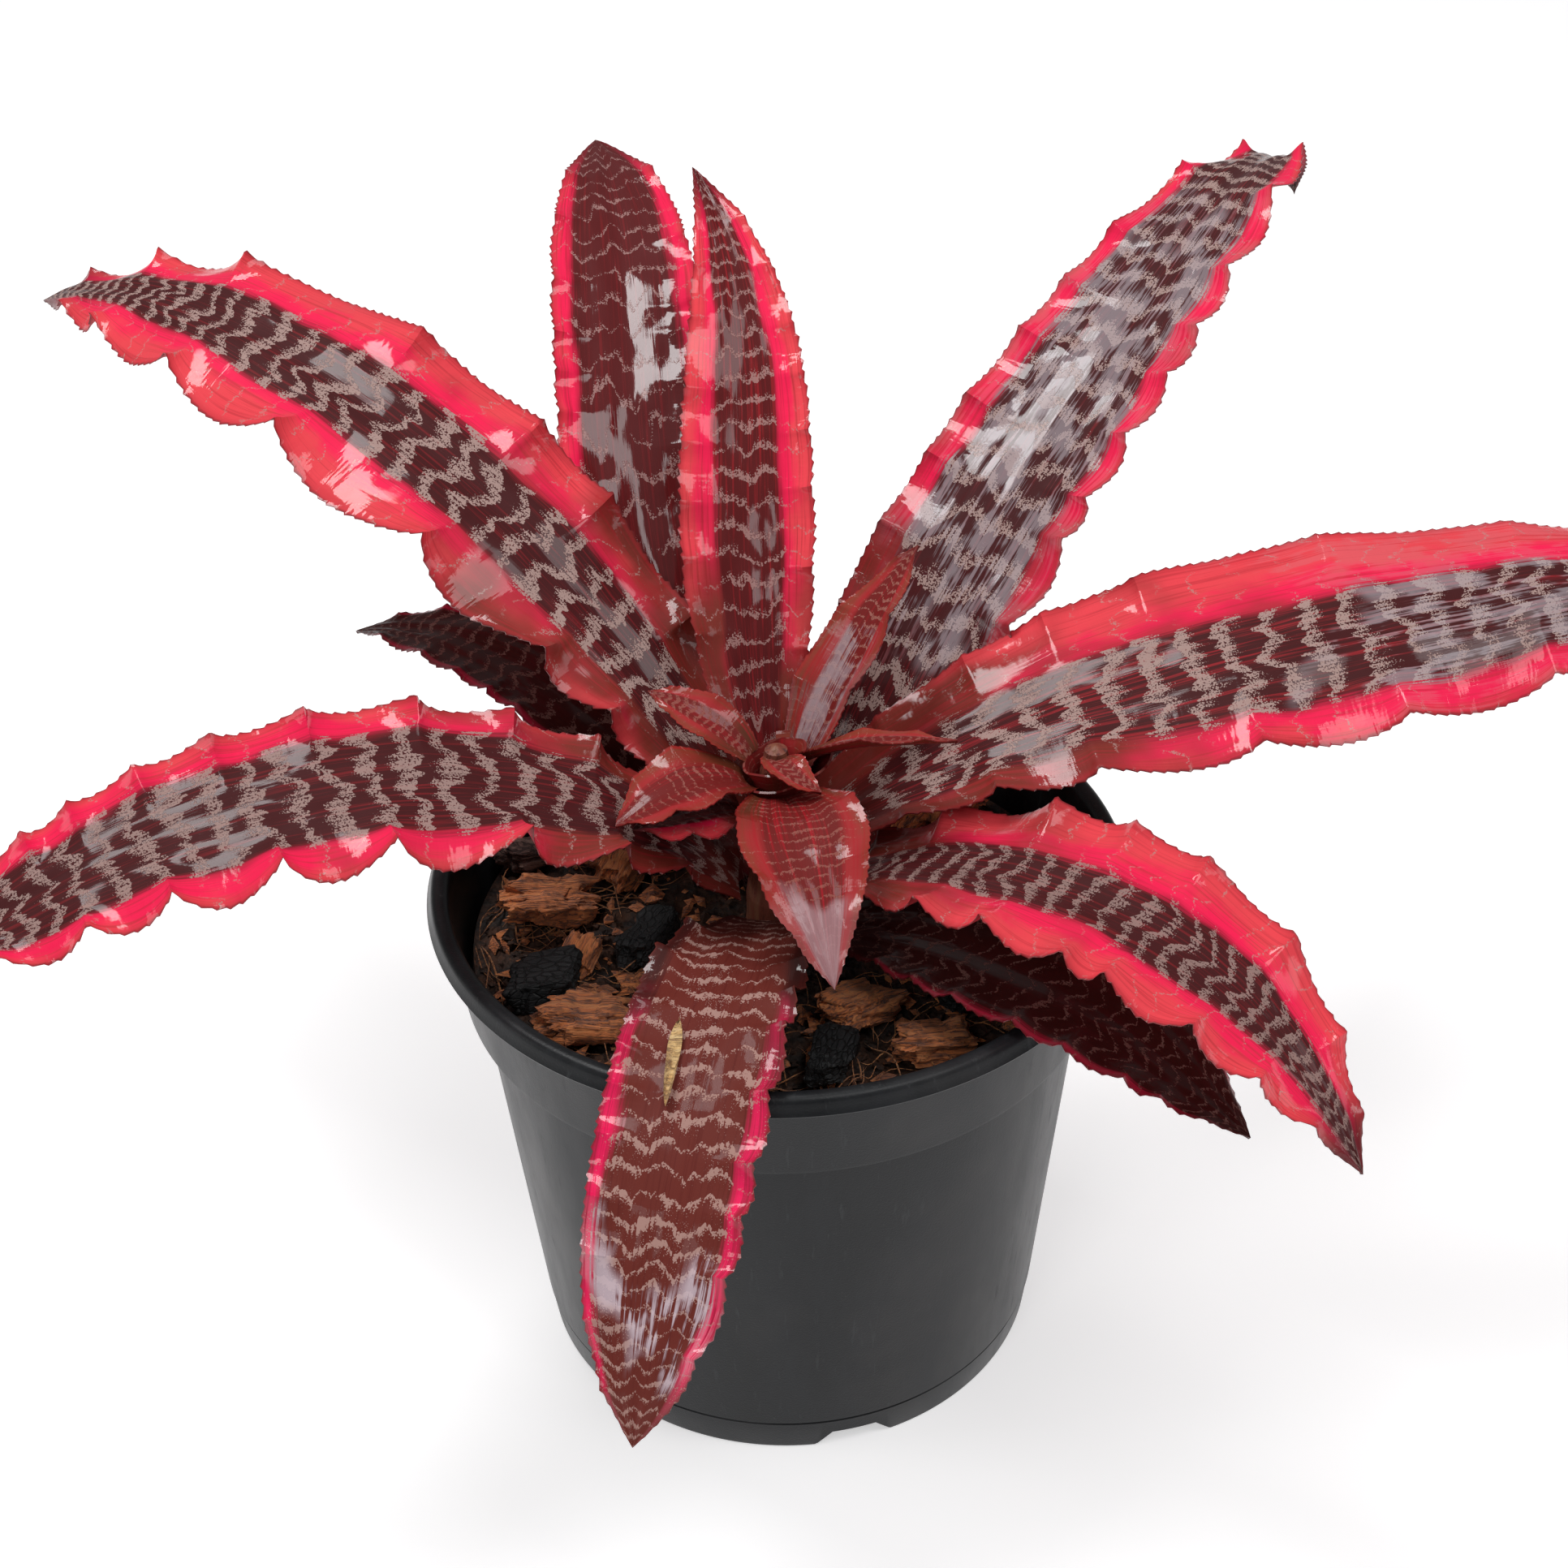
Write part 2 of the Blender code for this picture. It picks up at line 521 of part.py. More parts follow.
def add_strand(name, row):
    x, y, head, length, bow, lift = row
    s = np.linspace(0, 1, 9)
    a = math.radians(head)
    px = x + length * s * math.cos(a) - bow * np.sin(math.pi * s) * math.sin(a)
    py = y + length * s * math.sin(a) + bow * np.sin(math.pi * s) * math.cos(a)
    ground = mix_height(px * 0.001, py * 0.001).max() * 1000
    pz = ground + lift + 0.8 * np.sin(2.4 * math.pi * s + head)
    return add_tube(name, np.stack([px, py, pz], -1) * 0.001, STRAND_R, 6, "coir")


def add_scrap():
    """A dry flake lying on the front hanging leaf, a little above its upper face."""
    leaf = LEAVES["leaf_front_hanging"]
    t = np.linspace(0.40, 0.50, 6)
    points, up = leaf_points(leaf, t, np.array([-0.30, -0.16]))
    sides = np.array([0.35, 0.9, 1.0, 0.9, 0.7, 0.3])[:, None, None]
    centre = points.mean(1, keepdims=True)
    flat = centre + (points - centre) * sides + up[:, None, :] * 0.9
    top = flat + up[:, None, :] * 0.5
    verts = np.concatenate([top.reshape(-1, 3), flat.reshape(-1, 3)]) * 0.001
    n = 12
    faces = []
    for i in range(5):
        a = 2 * i
        faces.append((a, a + 1, a + 3, a + 2))
        faces.append((n + a, n + a + 2, n + a + 3, n + a + 1))
        faces.append((a, a + 2, n + a + 2, n + a))
        faces.append((a + 1, n + a + 1, n + a + 3, a + 3))
    faces.append((0, n, n + 1, 1))
    faces.append((10, 11, n + 11, n + 10))
    return face_out(add_object("dry_scrap", verts, faces, "dry_scrap"))


def centre_on_base():
    """Move every piece by one step so the bounding box's bottom centre is the origin."""
    bpy.context.view_layer.update()
    graph = bpy.context.evaluated_depsgraph_get()
    low = np.full(3, np.inf)
    high = np.full(3, -np.inf)
    for obj in PARTS.objects:
        for corner in obj.evaluated_get(graph).bound_box:
            low = np.minimum(low, corner)
            high = np.maximum(high, corner)
    shift = -Vector(((low[0] + high[0]) / 2, (low[1] + high[1]) / 2, low[2]))
    for obj in list(PARTS.objects) + list(CUTTERS.objects):
        obj.location = shift


clear_scene()
PARTS = collection("potted_bromeliad")
CUTTERS = collection("cutters", hidden=True)
MATS = {name: material(name) for name in COLOURS}

add_pot()
add_mix()
add_stem()
for leaf_name, leaf_row in LEAVES.items():
    big = leaf_row["L"] > 100
    leaf_slot = "leaf_dark" if leaf_name in DARK_LEAVES else "leaf_red"
    add_leaf(leaf_name, leaf_row, leaf_slot, 34 if big else 12, 5)
for chip_name, chip_row in CHIPS.items():
    add_chip(chip_name, chip_row)
for strand_name, strand_row in STRANDS.items():
    add_strand(strand_name, strand_row)
add_scrap()
centre_on_base()
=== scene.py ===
"""Potted bromeliad: finished leaves, pot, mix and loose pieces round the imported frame."""
import math

import bmesh
import bpy
import numpy as np
from mathutils import Matrix, Vector


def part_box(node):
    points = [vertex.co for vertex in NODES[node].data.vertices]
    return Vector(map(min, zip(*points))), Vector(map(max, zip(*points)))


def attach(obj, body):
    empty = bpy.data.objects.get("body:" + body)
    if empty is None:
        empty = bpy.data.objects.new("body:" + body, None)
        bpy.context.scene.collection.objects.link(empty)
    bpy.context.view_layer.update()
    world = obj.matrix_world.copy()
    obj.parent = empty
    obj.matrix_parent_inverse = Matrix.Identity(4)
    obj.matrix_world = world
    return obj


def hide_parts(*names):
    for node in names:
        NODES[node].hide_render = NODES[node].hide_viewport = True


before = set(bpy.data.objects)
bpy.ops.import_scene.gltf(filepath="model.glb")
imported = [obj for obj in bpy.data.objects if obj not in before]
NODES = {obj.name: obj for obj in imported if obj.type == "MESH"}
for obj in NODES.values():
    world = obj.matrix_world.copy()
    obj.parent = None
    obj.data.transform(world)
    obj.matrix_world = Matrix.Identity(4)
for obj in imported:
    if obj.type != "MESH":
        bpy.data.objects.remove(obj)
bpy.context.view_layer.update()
POT_LOW, POT_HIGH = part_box("pot")
AXIS = np.array([(POT_LOW[0] + POT_HIGH[0]) / 2, (POT_LOW[1] + POT_HIGH[1]) / 2, 0.0])
PLAIN = (0.8, 0.8, 0.8, 1)


# ---------------------------------------------------------------- numbers and noise
def smooth_stations(values, t):
    """Even stations joined by a curve that keeps each station's value and a shared slope there."""
    v = np.asarray(values, float)
    n = len(v) - 1
    x = np.clip(t, 0, 1) * n
    i = np.minimum(x.astype(int), n - 1)
    u = x - i
    p = np.concatenate([[2 * v[0] - v[1]], v, [2 * v[-1] - v[-2]]])
    a, b, c, d = p[i], p[i + 1], p[i + 2], p[i + 3]
    return b + 0.5 * u * (c - a + u * (2 * a - 5 * b + 4 * c - d + u * (3 * (b - c) + d - a)))


def lump(p, seed=0.0):
    """Lattice noise from 0 to 1: eight hashed corner values of each unit cell, eased between them."""
    p = np.asarray(p, float) + 37.3 * seed
    cell = np.floor(p)
    f = p - cell
    f = f * f * (3 - 2 * f)
    total = 0.0
    for k in range(8):
        corner = np.array([k & 1, k >> 1 & 1, k >> 2 & 1])
        h = np.sin((cell + corner) @ np.array([127.1, 311.7, 74.7]) + seed) * 43758.5453
        weight = np.prod(np.where(corner == 1, f, 1 - f), -1)
        total = total + (h - np.floor(h)) * weight
    return total


def rough(p, seed=0.0, layers=3):
    """Layers of lump noise, each twice as fine and half as strong, centred on 0."""
    total = 0.0
    for k in range(layers):
        total = total + (lump(np.asarray(p) * 2 ** k, seed + k) - 0.5) * 0.5 ** k
    return total


def smoothstep(low, high, x):
    u = np.clip((x - low) / (high - low), 0, 1)
    return u * u * (3 - 2 * u)


# ---------------------------------------------------------------- meshes
def grid_quads(rows, cols, start=0, close=False):
    """Quads of a rows x cols grid of points numbered row by row; close joins the last column to the first."""
    i, j = np.meshgrid(np.arange(rows - 1), np.arange(cols if close else cols - 1), indexing="ij")
    a = start + i * cols + j
    b = start + i * cols + (j + 1) % cols
    return np.stack([a, b, b + cols, a + cols], -1).reshape(-1, 4)


def sheet_faces(rows, cols):
    """Faces of a closed thin sheet whose upper grid of points is followed by its lower grid."""
    n = rows * cols
    i = np.arange(rows - 1) * cols
    k = i + cols - 1
    j = np.arange(cols - 1)
    e = n - cols + j
    return np.concatenate([
        grid_quads(rows, cols),
        np.stack([i, i + cols, i + cols + n, i + n], -1), np.stack([k, k + n, k + cols + n, k + cols], -1),
        np.stack([j, j + n, j + 1 + n, j + 1], -1), np.stack([e, e + 1, e + 1 + n, e + n], -1),
        grid_quads(rows, cols, n)[:, ::-1]])


def solid(name, verts, faces, mats, index=None, sharp=None, fields=None, node=None, turn=False):
    """A named piece from points and faces in metres, riding on the root body, facing outwards."""
    mesh = bpy.data.meshes.new(name)
    mesh.from_pydata(np.asarray(verts, float).tolist(), [], [tuple(f) for f in faces])
    for key, values in (fields or {}).items():
        layer = mesh.attributes.new(key, "FLOAT_VECTOR", "POINT")
        layer.data.foreach_set("vector", np.asarray(values, np.float32).ravel())
    for mat in mats:
        mesh.materials.append(mat)
    if index is not None:
        mesh.polygons.foreach_set("material_index", np.asarray(index, np.int32))
    mesh.polygons.foreach_set("use_smooth", np.ones(len(mesh.polygons), bool))
    if turn:
        bm = bmesh.new()
        bm.from_mesh(mesh)
        bmesh.ops.recalc_face_normals(bm, faces=bm.faces)
        bm.to_mesh(mesh)
        bm.free()
    mesh.update()
    if sharp:
        mesh.set_sharp_from_angle(angle=math.radians(sharp))
    obj = bpy.data.objects.new(name, mesh)
    bpy.context.scene.collection.objects.link(obj)
    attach(obj, "root")
    if node:
        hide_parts(*([node] if isinstance(node, str) else node))
    return obj


# ---------------------------------------------------------------- node building
class Net:
    """Short calls that add nodes to one tree and wire them by value or socket."""

    def __init__(self, tree):
        self.tree = tree

    def add(self, kind, ins=(), **props):
        node = self.tree.nodes.new("ShaderNode" + kind)
        for key, value in props.items():
            setattr(node, key, value)
        for key, value in ins.items() if isinstance(ins, dict) else enumerate(ins):
            if value is None:
                continue
            if isinstance(value, bpy.types.NodeSocket):
                self.tree.links.new(value, node.inputs[key])
            else:
                node.inputs[key].default_value = value
        return node

    def math(self, op, a, b=None, c=None):
        return self.add("Math", [a, b, c], operation=op).outputs[0]

    def mul(self, a, b):
        return self.math("MULTIPLY", a, b)

    def plus(self, a, b):
        return self.math("ADD", a, b)

    def fma(self, a, b, c):
        return self.math("MULTIPLY_ADD", a, b, c)

    def step(self, x, low, high, out_low=0.0, out_high=1.0):
        ins = {"Value": x, "From Min": low, "From Max": high, "To Min": out_low, "To Max": out_high}
        return self.add("MapRange", ins, interpolation_type="SMOOTHSTEP").outputs[0]

    def mix(self, factor, a, b, blend="MIX"):
        return self.add("Mix", {0: factor, 6: a, 7: b}, data_type="RGBA", blend_type=blend).outputs[2]

    def xyz(self, x, y, z):
        return self.add("CombineXYZ", [x, y, z]).outputs[0]

    def split(self, v):
        return self.add("SeparateXYZ", [v]).outputs

    def noise(self, v, scale=1.0, detail=2.0, roughness=0.5, distortion=0.0):
        ins = {"Vector": v, "Scale": scale, "Detail": detail, "Roughness": roughness,
               "Distortion": distortion}
        return self.add("TexNoise", ins).outputs[0]

    def cells(self, v, scale=1.0, feature="F1"):
        return self.add("TexVoronoi", {"Vector": v, "Scale": scale}, feature=feature).outputs[0]

    def scale(self, v, factors):
        return self.add("Mapping", {"Vector": v, "Scale": factors}).outputs[0]


def group(name, ins, outs, build):
    """A shader node group with named sockets; build(net, inputs) returns the outputs' sockets."""
    tree = bpy.data.node_groups.new(name, "ShaderNodeTree")
    kinds = {float: "NodeSocketFloat", tuple: "NodeSocketColor", str: "NodeSocketVector"}
    for key, value in ins.items():
        socket = tree.interface.new_socket(key, in_out="INPUT", socket_type=kinds[type(value)])
        if not isinstance(value, str):
            socket.default_value = value
    for key, kind in outs.items():
        tree.interface.new_socket(key, in_out="OUTPUT", socket_type=kinds[kind])
    net = Net(tree)
    start = tree.nodes.new("NodeGroupInput")
    end = tree.nodes.new("NodeGroupOutput")
    made = build(net, start.outputs)
    for key in outs:
        tree.links.new(made[key], end.inputs[key])
    return tree


def finish_of(name, roughness=0.5, coat=0.0, coat_roughness=0.1, sheen=0.0):
    """A new material: its net and its Principled shader, with the plain numbers set on the shader."""
    mat = bpy.data.materials.new(name)
    mat.use_nodes = True
    shader = mat.node_tree.nodes["Principled BSDF"]
    shader.inputs["Roughness"].default_value = roughness
    shader.inputs["Coat Weight"].default_value = coat
    shader.inputs["Coat Roughness"].default_value = coat_roughness
    shader.inputs["Sheen Weight"].default_value = sheen
    return mat, Net(mat.node_tree), shader


def place(net, tree, values):
    """Places a group in a material with its own values; returns its outputs."""
    node = net.tree.nodes.new("ShaderNodeGroup")
    node.node_tree = tree
    for key, value in values.items():
        if isinstance(value, bpy.types.NodeSocket):
            net.tree.links.new(value, node.inputs[key])
        else:
            node.inputs[key].default_value = value
    return node.outputs


def wire(net, shader, colour=None, roughness=None, coat=None, height=None, depth=0.0004, strength=0.5):
    """Feeds the shader's own sockets, the height by way of a Bump node that also turns the coat's normal
    where the material has a coat."""
    for key, socket in (("Base Color", colour), ("Roughness", roughness), ("Coat Weight", coat)):
        if socket is not None:
            net.tree.links.new(socket, shader.inputs[key])
    if height is not None:
        bump = net.add("Bump", {"Strength": strength, "Distance": depth, "Height": height})
        net.tree.links.new(bump.outputs[0], shader.inputs["Normal"])
        if shader.inputs["Coat Weight"].default_value or shader.inputs["Coat Weight"].is_linked:
            net.tree.links.new(bump.outputs[0], shader.inputs["Coat Normal"])


# ---------------------------------------------------------------- effect groups
def build_blade(n, i):
    """Zones, streaks and scale bands of a blade, from across (-1..1), distance (mm) and band count."""
    x, y, count = n.split(i["Blade"])
    share = n.math("DIVIDE", y, i["Length"])
    off = n.math("ABSOLUTE", x)
    lean = n.math("ABSOLUTE", n.plus(x, i["Shift"]))
    px = n.mul(x, i["Half Width"])
    seed = i["Seed"]
    streak = n.noise(n.xyz(n.mul(px, 1.5), n.mul(y, 0.03), seed), 1.0, 3.0, 0.6)
    wander = n.noise(n.xyz(n.mul(px, 0.07), n.mul(y, 0.045), n.plus(seed, 7.0)), 1.0, 2.0)
    patch = n.noise(n.xyz(n.mul(px, 0.16), n.mul(y, 0.10), n.plus(seed, 13.0)), 1.0, 3.0)
    grain = n.cells(n.xyz(px, y, seed), 2.7)
    # dark centre with a streaky edge
    edge = n.fma(n.plus(wander, -0.5), 0.30, n.fma(n.plus(streak, -0.5), 0.26, i["Zone"]))
    gap = n.math("SUBTRACT", lean, edge)
    centre = n.step(gap, 0.07, -0.07)
    # cross bands: the count of bands along the blade, thrown forward and back in zigzags
    jag = n.noise(n.xyz(n.mul(px, 0.20), n.mul(y, 0.05), n.plus(seed, 3.0)), 1.0, 3.5, 0.60)
    saw = n.math("PINGPONG", n.fma(x, 1.55, n.mul(wander, 1.3)), 0.5)
    phase = n.fma(saw, i["Zigzag"], n.fma(n.plus(jag, -0.5), 1.9, count))
    f = n.math("FRACT", phase)
    duty = n.fma(n.plus(patch, -0.5), 0.7, i["Band Share"])
    body = n.mul(n.step(f, 0.0, 0.07), n.step(n.math("SUBTRACT", f, duty), 0.26, -0.16))
    body = n.mul(body, n.fma(n.step(streak, 0.34, 0.58), 0.32, 0.68))
    body = n.mul(body, n.step(n.plus(n.mul(centre, 0.85), n.mul(patch, 0.55)), 0.38, 0.85))
    dots = n.mul(n.mul(n.step(patch, 0.40, 0.62), i["Speckle"]), n.step(streak, 0.36, 0.56))
    band = n.step(n.math("SUBTRACT", grain, n.mul(n.plus(body, dots), 0.74)), 0.05, -0.12)
    line = n.mul(n.step(f, 0.0, 0.05), n.step(f, 0.16, 0.06))
    line = n.mul(n.mul(line, n.step(patch, 0.42, 0.56)), n.math("SUBTRACT", 1.0, centre))
    line = n.mul(line, n.step(grain, 0.62, 0.38))
    # colours
    out = n.fma(n.plus(patch, -0.5), 0.55, n.fma(n.plus(wander, -0.5), 0.30, gap))
    red = n.mix(n.step(out, 0.10, 0.36), i["Margin"], i["Warm"])
    near = n.math("SUBTRACT", n.fma(n.plus(wander, -0.5), 0.7, share), i["Base End"])
    red = n.mix(n.step(near, 0.17, -0.17), red, i["Base"])
    red = n.mix(n.mul(n.step(streak, 0.52, 0.32), 0.50), red, i["Deep"])
    red = n.mix(n.mul(n.step(off, 0.90, 1.0), 0.45), red, i["Deep"])
    red = n.mix(n.mul(n.step(off, 0.975, 1.0), 0.60), red, i["Centre"])
    dark = n.mix(n.mul(n.step(streak, 0.50, 0.68), i["Red Streaks"]), i["Centre"], i["Deep"])
    colour = n.mix(centre, red, dark)
    tip = n.step(n.fma(n.plus(streak, -0.5), 0.06, share), 0.86, 0.97)
    colour = n.mix(n.mul(tip, 0.9), colour, i["Centre"])
    root = n.step(share, 0.10, 0.0)
    colour = n.mix(n.mul(root, 0.7), colour, i["Base"])
    colour = n.mix(n.mul(band, i["Scale Amount"]), colour, i["Scales"])
    colour = n.mix(n.mul(line, i["Line Amount"]), colour, i["Scales"])
    # thin silvery film of scales, torn into streaks; on the back right, right long and inner upright leaves
    # it is partly painted sheen, pale torn patches where those leaves catch the lights
    torn = n.step(n.fma(n.plus(streak, -0.5), 0.9, patch), 0.44, 0.56)
    torn = n.fma(i["Torn"], n.plus(torn, -1.0), 1.0)
    window = n.mul(
        n.step(n.math("SUBTRACT", n.fma(n.plus(wander, -0.5), 0.4, share), i["Film Start"]), -0.03, 0.03),
        n.step(n.math("SUBTRACT", n.fma(n.plus(wander, -0.5), 0.4, share), i["Film End"]), 0.03, -0.03))
    film = n.mul(n.mul(n.mul(torn, window), i["Film"]), n.fma(centre, 0.75, 0.25))
    colour = n.mix(film, colour, i["Film Colour"])
    # shine and relief
    shine = n.fma(centre, n.plus(i["Gloss"], -0.60), n.fma(band, -0.35, 0.60))
    rough_out = n.fma(band, 0.20, n.fma(patch, 0.20, 0.45))
    crimp = n.noise(n.xyz(n.mul(px, 0.10), n.mul(y, 0.45), n.plus(seed, 21.0)), 1.0, 2.0)
    height = n.fma(streak, 0.16, n.fma(band, 0.10, n.mul(crimp, n.mul(n.step(off, 0.3, 1.0), 1.1))))
    return {"Colour": colour, "Roughness": rough_out, "Coat": shine, "Height": height}


BLADE = group(
    "banded_blade",
    {"Blade": "", "Length": 200.0, "Half Width": 20.0, "Seed": 0.0, "Zone": 0.55, "Shift": 0.0,
     "Zigzag": 0.9, "Band Share": 0.45, "Scale Amount": 0.9, "Speckle": 0.12, "Line Amount": 0.7,
     "Red Streaks": 0.3, "Base End": 0.30, "Film": 0.0, "Film Start": 0.4, "Film End": 0.7, "Torn": 1.0,
     "Gloss": 0.38, "Centre": PLAIN, "Margin": PLAIN, "Base": PLAIN, "Warm": PLAIN, "Deep": PLAIN,
     "Scales": PLAIN, "Film Colour": PLAIN},
    {"Colour": tuple, "Roughness": float, "Coat": float, "Height": float}, build_blade)


def build_dust(n, i):
    """Fine dust settled in specks and soft patches, over a colour."""
    speck = n.step(n.noise(i["Place"], i["Speck Scale"], 2.0, 0.7), 0.66, 0.78)
    patch = n.step(n.noise(i["Place"], i["Patch Scale"], 3.0, 0.6), 0.45, 0.75)
    mask = n.mul(n.fma(patch, 0.5, n.mul(speck, 0.7)), i["Amount"])
    return {"Colour": n.mix(mask, i["Colour"], i["Dust"]), "Mask": mask}


DUST = group(
    "settled_dust",
    {"Place": "", "Colour": PLAIN, "Dust": (0.30, 0.26, 0.22, 1), "Amount": 0.3, "Speck Scale": 900.0,
     "Patch Scale": 40.0},
    {"Colour": tuple, "Mask": float}, build_dust)


def build_fibre(n, i):
    """Parallel fibres: noise stretched along one direction, with dark gaps between bundles."""
    fine = n.noise(i["Place"], 1.0, 4.0, 0.65, 0.4)
    bundle = n.noise(i["Place"], 0.33, 2.0, 0.5, 0.6)
    gap = n.step(n.plus(fine, n.mul(bundle, 0.5)), 0.52, 0.78)
    colour = n.mix(gap, i["Dark"], i["Light"])
    colour = n.mix(n.mul(n.step(bundle, 0.52, 0.66), 0.5), colour, i["Pale"])
    return {"Colour": colour, "Height": n.fma(gap, 0.7, fine), "Mask": gap}


FIBRE = group(
    "fibre_grain",
    {"Place": "", "Dark": PLAIN, "Light": PLAIN, "Pale": PLAIN},
    {"Colour": tuple, "Height": float, "Mask": float}, build_fibre)


# ---------------------------------------------------------------- leaves
# Lengths in mm, angles in degrees, as in the part. az: heading from the stem; r0, z0: where the midrib
# starts; L: its length; pitch: its slope at five even stations; sweep: heading change at three; roll:
# twist at base and tip; W: greatest width, at the share tm of the length; wb: base width share; tip: how
# blunt the point is, 2 when left out; ch: channel depth at base and tip as a share of the half width;
# A: ruffle height; n, pa, pb: number and phases of a small leaf's evenly spaced ruffles.
LEAVES = {
    "leaf_left_long": dict(
        az=138, r0=9, z0=130, L=248, pitch=(46, 34, 18, -5, -31), sweep=(0, 5, -5),
        roll=(-4, -18), W=44, tm=0.42, wb=0.36, tip=2.3, ch=(0.18, -0.10), A=4.5),
    "leaf_left_low": dict(
        az=193, r0=9, z0=120, L=210, pitch=(53, 25, 0, -18, -30), sweep=(0, 7, 10),
        roll=(-16, -15), W=40, tm=0.42, wb=0.36, tip=2.2, ch=(0.10, 0.04), A=4.0),
    "leaf_back_left": dict(
        az=129, r0=10, z0=113, L=203, pitch=(53, 44, 37, 19, -2), sweep=(0, -34, -28),
        roll=(1, 0), W=34, tm=0.45, wb=0.36, tip=4.5, ch=(0.28, 0.11), A=2.2),
    "leaf_back_upright": dict(
        az=104, r0=7, z0=136, L=144, pitch=(61, 56, 48, 38, 17), sweep=(0, -15, 10),
        roll=(-1, -1), W=29, tm=0.40, wb=0.36, tip=2.2, ch=(0.35, 0.14), A=2.0),
    "leaf_back_right": dict(
        az=51, r0=9, z0=108, L=254, pitch=(51, 42, 28, 13, -57), sweep=(0, -2, 13),
        roll=(7, -10), W=44, tm=0.32, wb=0.36, tip=2.6, ch=(0.22, 0.09), A=2.6),
    "leaf_right_long": dict(
        az=9, r0=9, z0=132, L=228, pitch=(37, 17, 8, 1, -15), sweep=(0, -1, 2),
        roll=(9, 25), W=54, tm=0.45, wb=0.36, tip=2.2, ch=(0.18, -0.42), A=4.0),
    "leaf_front_right": dict(
        az=-38, r0=9, z0=119, L=152, pitch=(46, 20, -3, -32, -58), sweep=(0, 4, -8),
        roll=(1, 2), W=42, tm=0.50, wb=0.36, tip=2.0, ch=(0.20, 0.08), A=4.0),
    "leaf_front_right_under": dict(
        az=-39, r0=10, z0=110, L=113, pitch=(30, 12, 2, -20, -36), sweep=(0, 1, 3),
        roll=(2, 2), W=35, tm=0.45, wb=0.40, tip=2.6, ch=(0.20, 0.08), A=2.2),
    "leaf_front_hanging": dict(
        az=-105, r0=10, z0=114, L=140, pitch=(33, 9, -20, -50, -68), sweep=(0, 2, -5),
        roll=(8, -4), W=33, tm=0.28, wb=0.46, tip=5.0, ch=(0.15, 0.06), A=2.2),
    "leaf_front_short": dict(
        az=-80, r0=7, z0=145, L=57, pitch=(34, 12, -18, -38, -46), sweep=(0, 0, 4),
        roll=(0, 0), W=27, tm=0.42, wb=0.40, tip=1.5, ch=(0.25, 0.10), A=1.2, n=4.0, pa=0.3, pb=0.1),
    "leaf_left_behind": dict(
        az=143, r0=11, z0=110, L=124, pitch=(51, 37, 15, -7, -30), sweep=(0, 1, 0),
        roll=(-5, -6), W=27, tm=0.42, wb=0.40, tip=2.2, ch=(0.22, 0.09), A=2.0),
    "leaf_inner_left": dict(
        az=-150, r0=7, z0=146, L=33, pitch=(40, 18, -2, -14, -20), sweep=(0, 0, 0),
        roll=(0, 0), W=21, tm=0.42, wb=0.40, ch=(0.30, 0.12), A=0.9, n=3.0, pa=0.3, pb=0.1),
    "leaf_left_small": dict(
        az=-152, r0=8, z0=139, L=27, pitch=(38, 20, 8, 0, -6), sweep=(0, 0, 0),
        roll=(0, 0), W=24, tm=0.45, wb=0.40, ch=(0.20, 0.08), A=1.2, n=3.0, pa=0.3, pb=0.1),
    "leaf_inner_upright": dict(
        az=41, r0=5, z0=141, L=57, pitch=(66, 57, 50, 44, 38), sweep=(0, 0, 0),
        roll=(-10, -10), W=19, tm=0.45, wb=0.42, ch=(0.40, 0.16), A=0.9, n=3.0, pa=0.3, pb=0.1),
    "leaf_inner_right": dict(
        az=-24, r0=5, z0=151, L=36, pitch=(40, 26, 14, 6, 0), sweep=(0, 8, 20),
        roll=(-20, -20), W=11, tm=0.42, wb=0.45, ch=(0.35, 0.14), A=0.5, n=2.5, pa=0.3, pb=0.1),
    "leaf_inner_back_left": dict(
        az=158, r0=6, z0=149, L=26, pitch=(52, 36, 24, 16, 8), sweep=(0, 0, 0),
        roll=(-20, -20), W=11, tm=0.42, wb=0.45, ch=(0.35, 0.14), A=0.5, n=2.5, pa=0.3, pb=0.1),
    "leaf_heart": dict(
        az=-90, r0=4, z0=152, L=17, pitch=(42, 18, -6, -16, -20), sweep=(0, 38, 70),
        roll=(0, 0), W=9, tm=0.42, wb=0.50, ch=(0.35, 0.14), A=0.3, n=2.0, pa=0.3, pb=0.1),
}
# Colour sets: dark centre, hot margin, base, warm outer margin, deep streaks, pale scales.
HOT = dict(Centre=(0.062, 0.009, 0.010, 1), Margin=(0.96, 0.012, 0.085, 1), Base=(0.21, 0.028, 0.019, 1),
           Warm=(0.86, 0.060, 0.080, 1), Deep=(0.44, 0.020, 0.030, 1), Scales=(0.44, 0.30, 0.27, 1))
RUBY = dict(HOT, Centre=(0.105, 0.007, 0.008, 1), Deep=(0.32, 0.012, 0.018, 1), Scales=(0.46, 0.27, 0.25, 1))
DUSKY = dict(Centre=(0.060, 0.009, 0.008, 1), Margin=(0.60, 0.012, 0.060, 1), Base=(0.050, 0.008, 0.006, 1),
             Warm=(0.40, 0.025, 0.045, 1), Deep=(0.10, 0.014, 0.010, 1), Scales=(0.36, 0.20, 0.17, 1))
BROWN = dict(Centre=(0.15, 0.026, 0.019, 1), Margin=(0.92, 0.012, 0.11, 1), Base=(0.060, 0.012, 0.010, 1),
             Warm=(0.55, 0.018, 0.050, 1), Deep=(0.10, 0.012, 0.010, 1), Scales=(0.48, 0.29, 0.25, 1))
